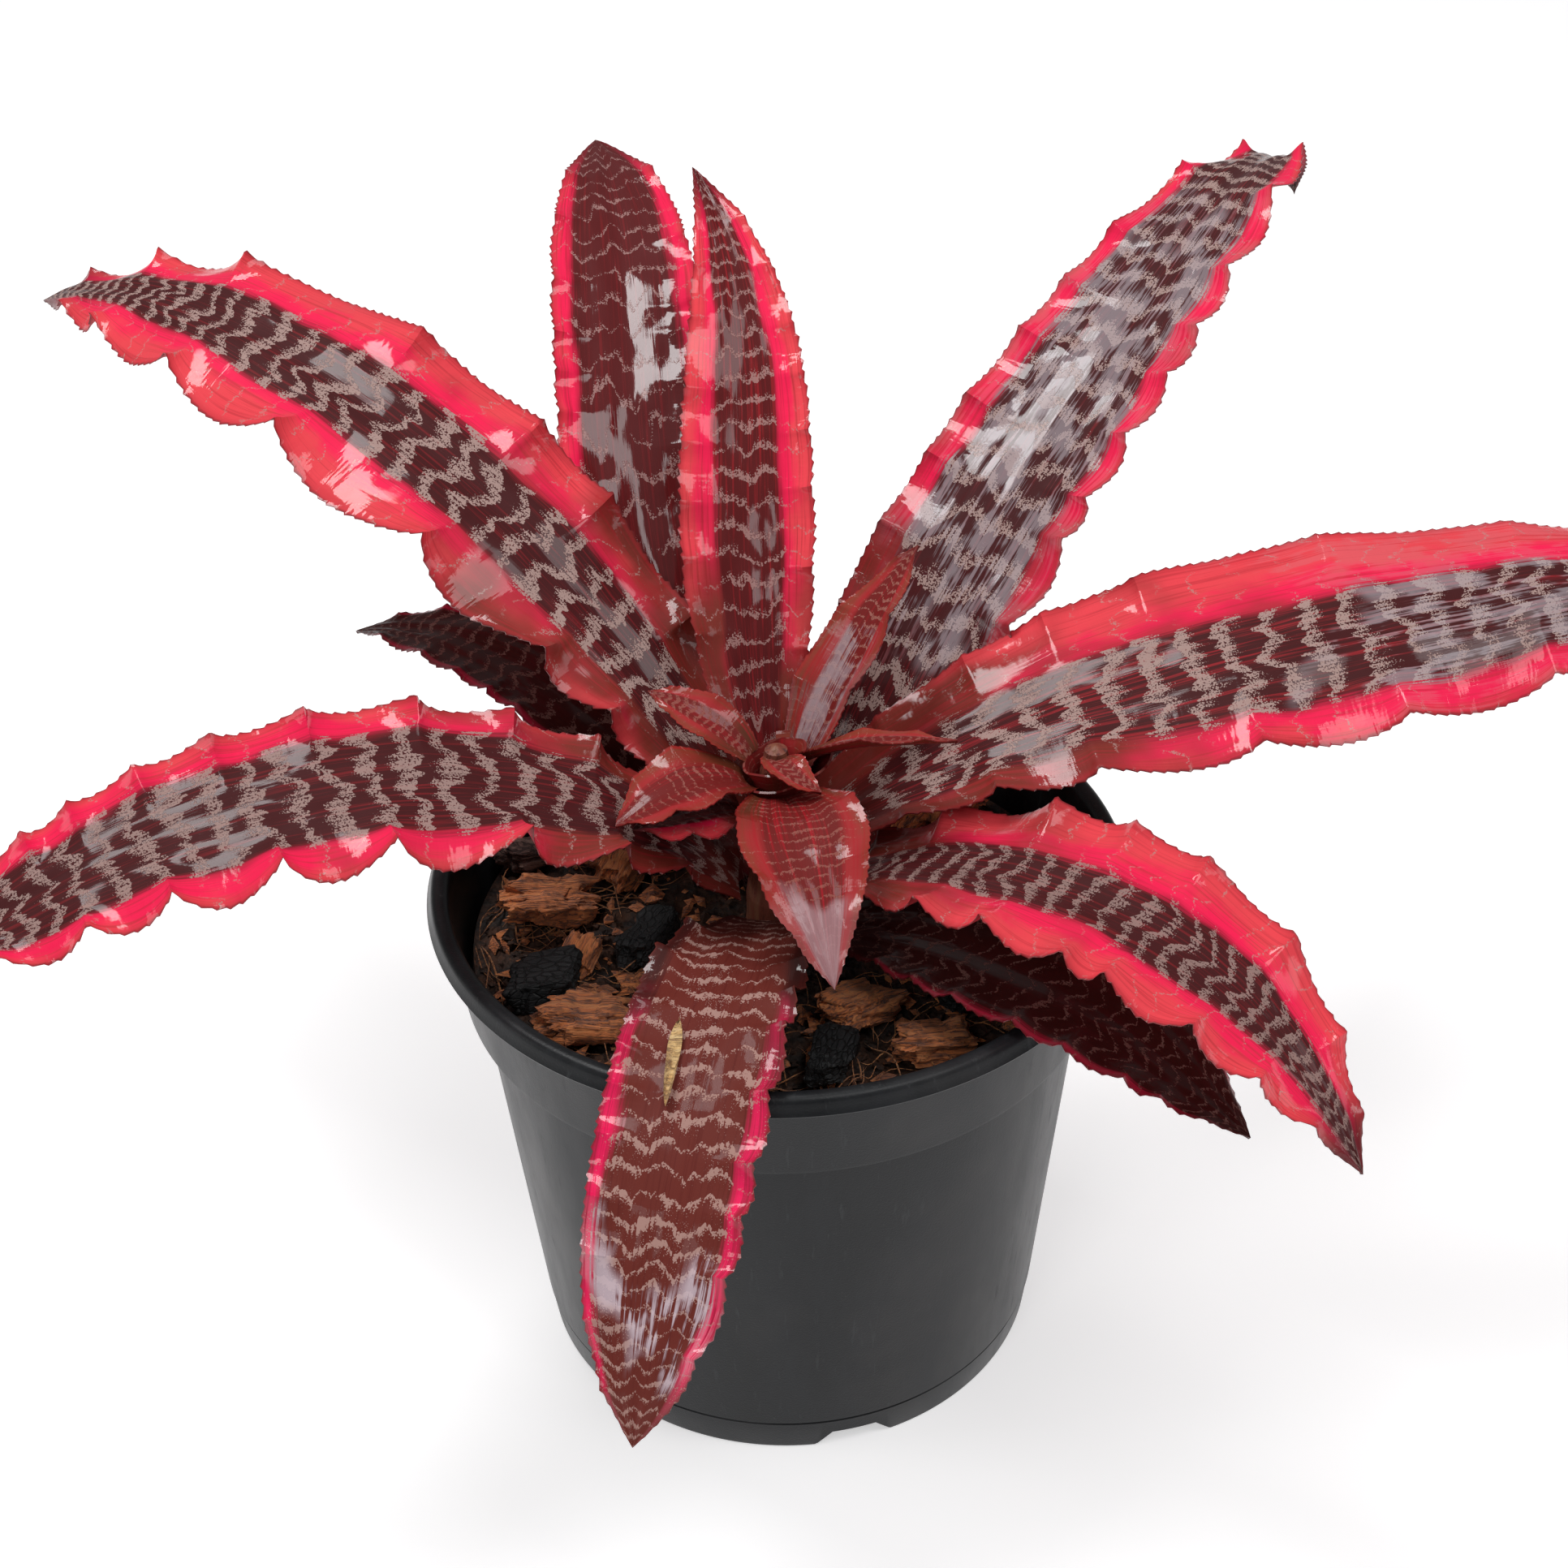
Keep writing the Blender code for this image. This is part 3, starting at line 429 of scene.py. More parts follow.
YOUNG = dict(Centre=(0.17, 0.014, 0.013, 1), Margin=(0.38, 0.026, 0.028, 1), Base=(0.12, 0.028, 0.012, 1),
             Warm=(0.27, 0.045, 0.026, 1), Deep=(0.42, 0.008, 0.018, 1), Scales=(0.42, 0.19, 0.15, 1))
LILAC_FILM = (0.66, 0.54, 0.60, 1)
GREY_TIP = (0.46, 0.28, 0.30, 1)


def finish(colours, pitch, **values):
    """A leaf's colour set, its band pitch at base, middle and tip in mm, and its own blade values."""
    return colours, pitch, {key.replace("_", " ").title(): value for key, value in values.items()}


FINISH = {
    "leaf_left_long": finish(HOT, (7.0, 8.2, 3.4), zone=0.47),
    "leaf_left_low": finish(HOT, (6.5, 8.0, 3.6), zone=0.66, zigzag=0.8, scale_amount=0.75),
    "leaf_back_left": finish(RUBY, (7.5, 9.5, 4.0), zone=0.74, zigzag=1.1, band_share=0.16, gloss=0.75,
                             scale_amount=0.65),
    "leaf_back_upright": finish(RUBY, (5.5, 5.6, 2.6), zone=0.50, zigzag=0.8, band_share=0.28, gloss=0.45,
                                scale_amount=0.65, red_streaks=0.8),
    # the film on this leaf is partly painted sheen, a pale patch where it catches the lights, and partly
    # silvery scales
    "leaf_back_right": finish(HOT, (7.0, 8.0, 4.0), zone=0.72, zigzag=0.8, gloss=0.7, film=0.5,
                              film_start=0.26, film_end=0.74),
    # the film on this leaf is partly painted sheen, a pale patch where it catches the lights, and partly
    # silvery scales
    "leaf_right_long": finish(HOT, (8.0, 9.0, 4.5), zone=0.50, shift=0.20, zigzag=0.8, red_streaks=0.6,
                              film=0.5, film_start=0.52, film_end=0.97),
    "leaf_front_right": finish(HOT, (4.8, 5.4, 3.2), zone=0.42, scale_amount=0.60),
    "leaf_front_right_under": finish(DUSKY, (4.4, 4.6, 2.6), zone=0.90, zigzag=1.6, band_share=0.22,
                                     scale_amount=0.55),
    "leaf_front_hanging": finish(BROWN, (3.8, 5.4, 2.4), zone=0.80, zigzag=1.0, band_share=0.26,
                                 scale_amount=0.80, speckle=0.42, red_streaks=0.5, gloss=0.12, base_end=0.40,
                                 film=0.75, film_start=0.76, film_end=0.86, film_colour=LILAC_FILM),
    "leaf_front_short": finish(YOUNG, (2.4, 2.4, 1.6), zone=0.62, zigzag=0.5, band_share=0.20,
                               scale_amount=0.40, speckle=0.40, red_streaks=0.7, film=0.7, torn=0.15,
                               film_start=0.66, film_end=1.3, film_colour=GREY_TIP),
    "leaf_left_behind": finish(DUSKY, (4.5, 5.0, 2.6), zone=0.88, zigzag=0.8, band_share=0.30,
                               scale_amount=0.5),
    "leaf_inner_left": finish(YOUNG, (2.2, 2.2, 1.6), zone=0.55, zigzag=0.7, band_share=0.2,
                              scale_amount=0.45, speckle=0.40),
    "leaf_left_small": finish(HOT, (3.0, 3.0, 2.0), zone=0.40, zigzag=0.7, band_share=0.3, scale_amount=0.4),
    # the film on this leaf is partly painted sheen, a pale patch where it catches the lights, and partly
    # silvery scales
    "leaf_inner_upright": finish(YOUNG, (2.2, 2.4, 1.6), zone=0.50, zigzag=0.8, band_share=0.35,
                                 scale_amount=0.6, film=0.5, film_start=0.15, film_end=0.6),
    "leaf_inner_right": finish(YOUNG, (2.0, 2.0, 1.4), zone=0.45, scale_amount=0.4),
    "leaf_inner_back_left": finish(YOUNG, (2.0, 2.0, 1.4), zone=0.45, scale_amount=0.4),
    "leaf_heart": finish(YOUNG, (2.0, 2.0, 1.4), zone=0.45, scale_amount=0.4),
}


# Where the margins rise to cusps, as shares of the length, on the + and on the - side.
CUSPS = {
    "leaf_left_long": ((.06, .14, .216, .361, .535, .680, .814, .90),
                       (.08, .169, .291, .381, .516, .718, .825, .92)),
    "leaf_left_low": ((.09, .172, .285, .419, .529, .634, .716, .80, .88),
                      (.10, .19, .276, .366, .468, .554, .626, .693, .740, .82, .90)),
    "leaf_back_left": ((.10, .22, .34, .456, .535, .585, .633, .708, .81, .90),
                       (.12, .24, .37, .49, .57, .635, .668, .765, .891)),
    "leaf_back_upright": ((.12, .24, .35, .428, .518, .601, .719, .801, .90),
                          (.10, .21, .33, .448, .533, .617, .694, .791, .874)),
    "leaf_back_right": ((.08, .16, .24, .320, .394, .457, .540, .608, .682, .790, .89),
                        (.10, .19, .28, .366, .407, .473, .541, .596, .661, .762, .87)),
    "leaf_right_long": ((.09, .184, .265, .357, .534, .712, .86), (.08, .17, .263, .413, .554, .70, .84)),
    "leaf_front_right": ((.10, .207, .368, .476, .578, .715, .839, .93),
                         (.09, .19, .296, .398, .515, .573, .699, .806, .90)),
    "leaf_front_right_under": ((.12, .22, .31, .41, .52, .63, .74, .85),
                               (.15, .254, .343, .430, .558, .653, .766, .831, .92)),
    "leaf_front_hanging": ((.14, .240, .312, .38, .491, .591, .660, .740, .850),
                           (.13, .227, .353, .439, .503, .574, .664, .740, .826, .92)),
    "leaf_left_behind": ((.12, .24, .37, .508, .570, .65, .745, .881), (.15, .29, .42, .55, .68, .80, .90)),
}
# How wide each half is, as a share of the even half width, on the + and on the - side.
HALVES = {"leaf_right_long": (0.96, 1.02), "leaf_front_right": (1.06, 1.06), "leaf_left_long": (1.06, 1.04)}
# How strongly a leaf's lobes and ruffles show, 1 when left out.
RUFFLED = {"leaf_right_long": 0.50, "leaf_front_hanging": 1.7, "leaf_left_low": 1.25, "leaf_back_right": 1.15}


def ruffle_wave(name, leaf, t, v):
    """0 at each cusp and 1 halfway between two, as a raised half sine, times the lobe's own depth, which
    grows with its length; small leaves have evenly spaced cusps."""
    sides = CUSPS.get(name)
    if sides is None:
        phase = np.where(v[None, :] > 0, leaf["pa"], leaf["pb"])
        return np.abs(np.sin(np.pi * (leaf["n"] * t[:, None] ** 1.4 + phase))) ** 0.9, 1.0
    waves = []
    depths = []
    for cusps in sides:
        edge = np.concatenate([[-0.02], cusps, [1.02]])
        k = np.clip(np.searchsorted(edge, t) - 1, 0, len(edge) - 2)
        span = edge[k + 1] - edge[k]
        u = ((t - edge[k]) / span) ** 1.25
        waves.append(np.sin(np.pi * u) ** 0.62)
        size = np.clip(np.diff(edge) * leaf["L"] / 26, 0.45, 1.15) * RUFFLED.get(name, 1.0)
        mid = (edge[1:] + edge[:-1]) / 2
        depths.append(np.interp(t, mid, size))
    plus = (v > 0)[None, :]
    return (np.where(plus, waves[0][:, None], waves[1][:, None]),
            np.where(plus, depths[0][:, None], depths[1][:, None]))


def leaf_path(leaf, t):
    """Midrib points and the side and up directions there, for shares t of the length: the pitch and
    heading stations summed step by step, and the cross direction turned about the midrib by the roll."""
    steps = 240
    s = (np.arange(steps) + 0.5) / steps
    pitch = np.radians(smooth_stations(leaf["pitch"], s))
    head = np.radians(leaf["az"] + smooth_stations(leaf["sweep"], s))
    move = np.stack([np.cos(pitch) * np.cos(head), np.cos(pitch) * np.sin(head), np.sin(pitch)], -1)
    path = np.concatenate([np.zeros((1, 3)), np.cumsum(move, 0)]) * leaf["L"] / steps
    az = math.radians(leaf["az"])
    path = path + np.array([leaf["r0"] * math.cos(az), leaf["r0"] * math.sin(az), leaf["z0"]])
    even = np.linspace(0, 1, steps + 1)
    mid = np.stack([np.interp(t, even, path[:, k]) for k in range(3)], -1)
    pitch = np.radians(smooth_stations(leaf["pitch"], t))
    head = np.radians(leaf["az"] + smooth_stations(leaf["sweep"], t))
    roll = np.radians(smooth_stations(leaf["roll"], t))
    along = np.stack([np.cos(pitch) * np.cos(head), np.cos(pitch) * np.sin(head), np.sin(pitch)], -1)
    level = np.stack([-np.sin(head), np.cos(head), 0 * head], -1)
    over = np.cross(along, level)
    side = level * np.cos(roll)[:, None] + over * np.sin(roll)[:, None]
    up = over * np.cos(roll)[:, None] - level * np.sin(roll)[:, None]
    return mid, side, up


def leaf_width(leaf, t):
    """Full width: a quarter sine from base to widest, then a parabola down to the point."""
    tm = leaf["tm"]
    rise = leaf["wb"] + (1 - leaf["wb"]) * np.sin(0.5 * np.pi * np.clip(t / tm, 0, 1))
    left = np.clip((1 - t) / (1 - tm), 0, 1)
    return leaf["W"] * np.where(t < tm, rise, 1 - (1 - left) ** leaf.get("tip", 2))


def leaf_face(name, leaf, t, v, seed):
    """Upper face in mm at shares t and across v: a shallow channel; ruffles that rise to cusps and sink
    to rounded lobes, the lobes a little wider than the cusps; two soft ribs either side of the midrib;
    lengthwise ridges and slow swells; and forward-leaning teeth on the two margins."""
    mid, side, up = leaf_path(leaf, t)
    half = np.maximum(leaf_width(leaf, t) / 2, 0.05)[:, None]
    fade = (np.clip(t / 0.12, 0, 1) * np.clip((1 - t) / 0.12, 0, 1))[:, None]
    channel = (leaf["ch"][0] + (leaf["ch"][1] - leaf["ch"][0]) * t)[:, None]
    tt = t[:, None]
    vv = v[None, :]
    off = np.abs(vv)
    wave, depth = ruffle_wave(name, leaf, t, v)
    ruffle = leaf["A"] * fade * (0.55 - wave) * 1.9 * depth * off ** 2.6
    lobe = 1 + 0.080 * fade * (wave - 0.5) * depth * smoothstep(0.5, 1.0, off) * min(leaf["A"] / 2.2, 1.6)
    wide = HALVES.get(name, (1.0, 1.0))
    lobe = lobe * np.where(vv > 0, wide[0], wide[1])
    across = vv * half * (1 - 0.12 * off * np.abs(channel)) * lobe
    swell = rough(np.stack(np.broadcast_arrays(vv * 2.6, tt * leaf["L"] / 13, seed), -1), seed, 2)
    ribs = np.exp(-((off - 0.30) / 0.10) ** 2) * 0.35 - np.exp(-(off / 0.10) ** 2) * 0.35
    fine = rough(np.stack(np.broadcast_arrays(vv * half * 0.9, tt * leaf["L"] / 60, seed + 5), -1), seed, 2)
    small = min(leaf["W"] / 40, 1)
    rise = channel * half * vv ** 2 + ruffle + (1.1 * swell + ribs + 0.25 * fine) * small * np.sqrt(fade)
    tooth = 2.7 if leaf["L"] > 100 else 1.7
    run = tt * leaf["L"] / tooth
    saw = run - np.floor(run)
    size = 0.5 + 0.7 * lump(np.stack(np.broadcast_arrays(np.floor(run), np.sign(vv), 0 * tt), -1), seed)
    blade = smoothstep(0.02, 0.08, tt) * np.clip((1 - tt) * 14, 0, 1)
    teeth = 0.30 * tooth * size * (saw ** 1.6 - 0.2) * blade * (off > 0.999)
    across = across + np.sign(vv) * teeth
    return mid[:, None, :] + side[:, None, :] * across[..., None] + up[:, None, :] * rise[..., None], up


def blade_material(name, leaf, seed, colours, values, under=False):
    """A blade finish: the banded group with this leaf's own colours and sizes."""
    mat, net, shader = finish_of(name + ("_underside" if under else "_face"), 0.35, 0.6, 0.05)
    shader.inputs["Specular IOR Level"].default_value = 0.10
    blade = net.add("Attribute", attribute_type="GEOMETRY", attribute_name="blade").outputs["Vector"]
    # the grey-pink film colour is partly silvery scales and, on leaves with no film colour of their own,
    # partly painted sheen
    out = place(net, BLADE, {"Film Colour": (0.42, 0.36, 0.39, 1), **colours, **values, "Blade": blade,
                             "Length": float(leaf["L"]), "Half Width": leaf["W"] / 2,
                             "Seed": seed * 3.7 + (9.0 if under else 0.0)})
    wire(net, shader, out["Colour"], out["Roughness"], None if under else out["Coat"], out["Height"],
         0.00035, 0.50)
    if under:
        shader.inputs["Coat Weight"].default_value = 0.0
    return mat


def add_leaf(name, leaf, seed):
    """A closed blade: the upper face, a lower face a thin wall below it, and the edges between them."""
    colours, pitch, values = FINISH[name]
    tooth = 2.7 if leaf["L"] > 100 else 1.7
    stations = int(round(leaf["L"] / tooth)) * 4 + 1
    u = np.linspace(-1, 1, 35 if leaf["L"] > 100 else 25)
    v = u * (1.3 - 0.3 * u * u)
    t = np.linspace(0, 1, stations)
    top, up = leaf_face(name, leaf, t, v, seed)
    thick = (0.35 + 1.05 * (1 - np.abs(v) ** 2.5))[None, :] * (1 - 0.45 * t)[:, None]
    low = top - up[:, None, :] * thick[..., None]
    verts = np.concatenate([top.reshape(-1, 3), low.reshape(-1, 3)]) * 0.001 + AXIS
    faces = sheet_faces(stations, len(v))
    index = np.zeros(len(faces), int)
    index[-(stations - 1) * (len(v) - 1):] = 1
    gaps = smooth_stations(pitch, t)
    bands = np.concatenate([[0], np.cumsum(leaf["L"] / (stations - 1) / (0.5 * (gaps[1:] + gaps[:-1])))])
    field = np.stack(np.broadcast_arrays(v[None, :], t[:, None] * leaf["L"], bands[:, None]), -1)
    field = np.concatenate([field.reshape(-1, 3)] * 2)
    dim = {k: tuple(c * 0.55 for c in value[:3]) + (1,) for k, value in colours.items()}
    mats = [blade_material(name, leaf, seed, colours, values),
            blade_material(name, leaf, seed, dim, {**values, "Film": 0.0, "Scale Amount": 0.6}, True)]
    return solid(name + "_blade", verts, faces, mats, index, 50, {"blade": field}, name, True)


# ---------------------------------------------------------------- pot
def pot_plastic():
    """Black moulded plastic: faint flow streaks, fine grain, soft scuffs and a little dust."""
    mat, net, shader = finish_of("pot_plastic_moulded", 0.40)
    shader.inputs["Specular IOR Level"].default_value = 0.22
    place_at = net.add("TexCoord").outputs["Object"]
    scuff = net.noise(net.scale(place_at, (60, 60, 14)), 1.0, 5.0, 0.7)
    mark = net.step(net.noise(net.scale(place_at, (420, 420, 60)), 1.0, 3.0, 0.7), 0.60, 0.74)
    base = net.mix(net.step(scuff, 0.35, 0.70), (0.0085, 0.0092, 0.0105, 1), (0.015, 0.0162, 0.0185, 1))
    base = net.mix(net.mul(mark, 0.30), base, (0.06, 0.062, 0.066, 1))
    dust = place(net, DUST, {"Place": place_at, "Colour": base, "Amount": 0.10, "Dust": (0.22, 0.19, 0.17, 1),
                             "Speck Scale": 1300.0, "Patch Scale": 28.0})
    grain = net.noise(place_at, 2600.0, 2.0, 0.6)
    rough_out = net.fma(net.step(scuff, 0.3, 0.75), 0.14, net.fma(mark, 0.12, 0.30))
    wire(net, shader, dust["Colour"], rough_out, None, net.plus(grain, net.mul(scuff, 0.6)), 0.00012, 0.35)
    return mat


def add_pot():
    """The pot turned from one profile about its axis, then notched at the foot and drilled through the
    floor: rolled rim, skirt, upper band, tapering body, fine line and foot."""
    profile = [(0.0002, 0.008), (0.0535, 0.008), (0.0558, 0.0088), (0.0561, 0.0105), (0.0646, 0.0960),
               (0.0652, 0.0968), (0.0676, 0.0985), (0.0682, 0.0995), (0.0705, 0.1168), (0.0709, 0.1198),
               (0.0713, 0.1208), (0.0719, 0.1213), (0.0727, 0.1216), (0.0735, 0.1216), (0.0742, 0.1214),
               (0.0747, 0.1210), (0.0750, 0.1204), (0.0752, 0.1196), (0.0757, 0.1184), (0.0759, 0.1180),
               (0.0757, 0.1176), (0.0753, 0.11745), (0.0728, 0.1175), (0.0723, 0.1172), (0.0721, 0.1166),
               (0.0698, 0.0978), (0.0696, 0.0970), (0.0690, 0.0966), (0.0668, 0.0962), (0.0663, 0.0957),
               (0.0662, 0.0948), (0.0577, 0.0100), (0.0576, 0.0092), (0.0571, 0.0089), (0.0571, 0.0087),
               (0.0574, 0.0084), (0.0573, 0.0078), (0.0564, 0.0009), (0.0561, 0.0002), (0.0556, 0.0),
               (0.0534, 0.0), (0.0530, 0.0003), (0.0528, 0.0010), (0.0523, 0.0058), (0.0518, 0.0060),
               (0.0002, 0.0060)]
    steps = 216
    angle = np.arange(steps) * 2 * math.pi / steps
    rz = np.array(profile)
    verts = np.stack([rz[:, :1] * np.cos(angle), rz[:, :1] * np.sin(angle), rz[:, 1:] + 0 * angle], -1)
    verts = verts.reshape(-1, 3)
    rows = len(rz)
    faces = [tuple(q) for q in grid_quads(rows, steps, close=True)]
    faces += [tuple(range(steps)), tuple(range(rows * steps - 1, (rows - 1) * steps - 1, -1))]
    pot = solid("pot_moulding", verts + AXIS, faces, [pot_plastic()], node="pot", turn=True)
    cutters = []
    for k in range(3):
        turn = Matrix.Rotation(math.radians(-76 + 120 * k), 4, "Z")
        outline = [(-0.010, -0.001), (0.010, -0.001), (0.005, 0.0045), (-0.005, 0.0045)]
        ring = [(x, y, z) for x in (0.0463, 0.0663) for y, z in outline]
        sides = [(0, 1, 2, 3), (7, 6, 5, 4)] + [(i, i + 4, (i + 1) % 4 + 4, (i + 1) % 4) for i in range(4)]
        cutters.append(([turn @ Vector(p) for p in ring], sides))
    for k in range(6):
        turn = math.radians(-46 + 60 * k)
        x, y = 0.040 * math.cos(turn), 0.040 * math.sin(turn)
        ring = [(x + 0.0045 * math.cos(b), y + 0.0045 * math.sin(b), z)
                for z in (0.004, 0.010) for b in np.arange(24) * math.pi / 12]
        sides = [tuple(range(24)), tuple(range(47, 23, -1))]
        sides += [(i, i + 24, (i + 1) % 24 + 24, (i + 1) % 24) for i in range(24)]
        cutters.append((ring, sides))
    tools = []
    for verts, sides in cutters:
        mesh = bpy.data.meshes.new("cutter")
        mesh.from_pydata([tuple(np.array(p) + AXIS) for p in verts], [], sides)
        bm = bmesh.new()
        bm.from_mesh(mesh)
        bmesh.ops.recalc_face_normals(bm, faces=bm.faces)
        bm.to_mesh(mesh)
        bm.free()
        tool = bpy.data.objects.new("cutter", mesh)
        bpy.context.scene.collection.objects.link(tool)
        tools.append(tool)
        mod = pot.modifiers.new("cut", "BOOLEAN")
        mod.object = tool
        mod.solver = "EXACT"
    graph = bpy.context.evaluated_depsgraph_get()
    cut = bpy.data.meshes.new_from_object(pot.evaluated_get(graph))
    pot.modifiers.clear()
    pot.data = cut
    for tool in tools:
        bpy.data.objects.remove(tool, do_unlink=True)
    cut.polygons.foreach_set("use_smooth", np.ones(len(cut.polygons), bool))
    cut.set_sharp_from_angle(angle=math.radians(38))
    return pot


# ---------------------------------------------------------------- mix and loose pieces
def mix_height(x, y):
    """Height of the mix: a few crossed waves that fade out round the stem and at the wall."""
    r = np.hypot(x, y)
    waves = np.sin(170 * x + 1.0) * np.cos(150 * y) + 0.6 * np.sin(260 * y - 190 * x)
    fade = np.clip((r - 0.014) / 0.010, 0, 1) * np.clip((0.068 - r) / 0.008, 0, 1)
    return 0.1035 + 0.00084 * waves * fade


def mix_material():
    """Damp dark mix: black-brown crumbs with rusty fibres and grey specks."""
    mat, net, shader = finish_of("growing_mix_damp", 0.9)
    at = net.add("TexCoord").outputs["Object"]
    crumb = net.cells(at, 520.0)
    tone = net.noise(at, 190.0, 4.0, 0.7)
    colour = net.mix(net.step(tone, 0.35, 0.70), (0.008, 0.004, 0.003, 1), (0.075, 0.028, 0.012, 1))
    rust = net.step(net.noise(net.scale(at, (900, 260, 500)), 1.0, 4.0, 0.7), 0.60, 0.72)
    colour = net.mix(net.mul(rust, 0.65), colour, (0.26, 0.085, 0.030, 1))
    dust = place(net, DUST, {"Place": at, "Colour": colour, "Amount": 0.10, "Speck Scale": 700.0,
                             "Patch Scale": 60.0})
    wire(net, shader, dust["Colour"], net.fma(tone, 0.4, 0.6), None, net.plus(net.mul(crumb, 2.0), tone),
         0.0008, 0.8)
    return mat


def add_mix(mat):
    """The mix as one closed body: rings of the waved surface roughened by noise, the pot's inner wall,
    and a flat underside."""
    steps = 240
    rings = 80
    a = np.arange(steps) * 2 * math.pi / steps
    r = np.linspace(0.0004, 0.0671, rings)
    x = r[:, None] * np.cos(a)
    y = r[:, None] * np.sin(a)
    z = mix_height(x, y)
    p = np.stack([x, y, 0 * x], -1)
    grit = rough(p * 330, 2, 3) * 0.0030 + rough(p * 900, 9, 2) * 0.0010
    z = z + grit * smoothstep(0.0671, 0.064, r)[:, None]
    top = np.stack([x, y, z], -1)
    wall = np.array([(0.0676, 0.0985), (0.0642, 0.0961), (0.0550, 0.0107), (0.0522, 0.0083),
                     (0.0004, 0.0083)])
    low = np.stack([wall[:, :1] * np.cos(a), wall[:, :1] * np.sin(a), wall[:, 1:] + 0 * a], -1)
    verts = np.concatenate([top, low]).reshape(-1, 3)
    rows = rings + len(wall)
    faces = [tuple(q) for q in grid_quads(rows, steps, close=True)]
    faces += [tuple(range(steps)), tuple(range(rows * steps - 1, (rows - 1) * steps - 1, -1))]
    return solid("mix_body", verts + AXIS, faces, [mat], sharp=60, node="growing_mix", turn=True)


def crumbs(name, count, size, seed, mat, height=1.0):
    """Many small lumps on the mix: eight-faced crumbs, each squashed, turned and sized by chance."""
    rng = np.random.default_rng(seed)
    unit = np.array([[1, 0, 0], [0, 1, 0], [-1, 0, 0], [0, -1, 0], [0, 0, 1], [0, 0, -1]], float)
    tri = np.array([[0, 1, 4], [1, 2, 4], [2, 3, 4], [3, 0, 4], [1, 0, 5], [2, 1, 5], [3, 2, 5], [0, 3, 5]])
    r = np.sqrt(rng.uniform(0.012 ** 2, 0.0655 ** 2, count))
    a = rng.uniform(0, 2 * math.pi, count)
    s = size * rng.uniform(0.35, 1.0, (count, 1, 1)) ** 1.5
    corner = rng.uniform(0.5, 1.3, (count, 6, 1))
    long, wide, tall = rng.uniform(0.8, 1.8, count), rng.uniform(0.5, 1, count), rng.uniform(0.4, 0.8, count)
    p = unit[None] * corner * s * np.stack([long, wide, tall * height], -1)[:, None]
    w = rng.uniform(0, 2 * math.pi, count)
    tilt = rng.uniform(-0.7, 0.7, count)
    x = p[..., 0] * np.cos(tilt)[:, None] + p[..., 2] * np.sin(tilt)[:, None]
    z = p[..., 2] * np.cos(tilt)[:, None] - p[..., 0] * np.sin(tilt)[:, None]
    px = x * np.cos(w)[:, None] - p[..., 1] * np.sin(w)[:, None] + (r * np.cos(a))[:, None]
    py = x * np.sin(w)[:, None] + p[..., 1] * np.cos(w)[:, None] + (r * np.sin(a))[:, None]
    pz = z + (mix_height(r * np.cos(a), r * np.sin(a)) + 0.0004 + 0.3 * s[:, 0, 0])[:, None]
    verts = np.stack([px, py, pz], -1).reshape(-1, 3)
    faces = (tri[None] + 6 * np.arange(count)[:, None, None]).reshape(-1, 3)
    return solid(name, verts + AXIS, faces, [mat], None, 25, {"grain": verts * 1000})


def husk_material(name, dark, light, pale, seed):
    """Coconut husk: parallel straw fibres along the piece, darker between them."""
    mat, net, shader = finish_of(name, 0.88, sheen=0.15)
    at = net.add("Attribute", attribute_type="GEOMETRY", attribute_name="grain").outputs["Vector"]
    out = place(net, FIBRE, {"Place": net.scale(at, (0.16, 2.4, 2.4)), "Dark": dark, "Light": light,
                             "Pale": pale})
    tone = net.noise(at, 0.25 + 0.01 * seed, 2.0)
    colour = net.mix(net.mul(net.step(tone, 0.50, 0.68), 0.55), out["Colour"], dark)
    wire(net, shader, colour, net.fma(out["Mask"], 0.15, 0.75), None, out["Height"], 0.0007, 0.9)
    return mat


def charcoal_material():
    """Charcoal: black, cracked across its grain, with grey ash on the raised faces."""
    mat, net, shader = finish_of("charcoal_cracked", 0.6)
    at = net.add("Attribute", attribute_type="GEOMETRY", attribute_name="grain").outputs["Vector"]
    crack = net.cells(net.scale(at, (0.35, 0.75, 0.75)), 1.0, "DISTANCE_TO_EDGE")
    grain = net.noise(net.scale(at, (0.5, 2.2, 2.2)), 1.0, 4.0, 0.7)
    face = net.step(crack, 0.02, 0.12)
    colour = net.mix(face, (0.002, 0.002, 0.002, 1), (0.014, 0.0145, 0.0155, 1))
    colour = net.mix(net.mul(net.step(grain, 0.54, 0.74), 0.45), colour, (0.075, 0.078, 0.084, 1))
    wire(net, shader, colour, net.fma(grain, 0.5, 0.3), None, net.fma(face, 1.2, grain), 0.0005, 0.8)
    return mat


def bark_material():
    """Grey-brown bark in thin weathered layers."""
    mat, net, shader = finish_of("bark_weathered", 0.85)
    at = net.add("Attribute", attribute_type="GEOMETRY", attribute_name="grain").outputs["Vector"]
    layer = net.noise(net.scale(at, (0.10, 0.35, 1.9)), 1.0, 4.0, 0.6, 0.8)
    out = place(net, FIBRE, {"Place": net.scale(at, (0.22, 1.2, 1.2)), "Dark": (0.030, 0.014, 0.012, 1),
                             "Light": (0.16, 0.085, 0.068, 1), "Pale": (0.26, 0.17, 0.14, 1)})
    colour = net.mix(net.step(layer, 0.55, 0.40), out["Colour"], (0.035, 0.014, 0.012, 1))
    wire(net, shader, colour, None, None, net.fma(layer, 1.5, out["Height"]), 0.0007, 0.8)
    return mat


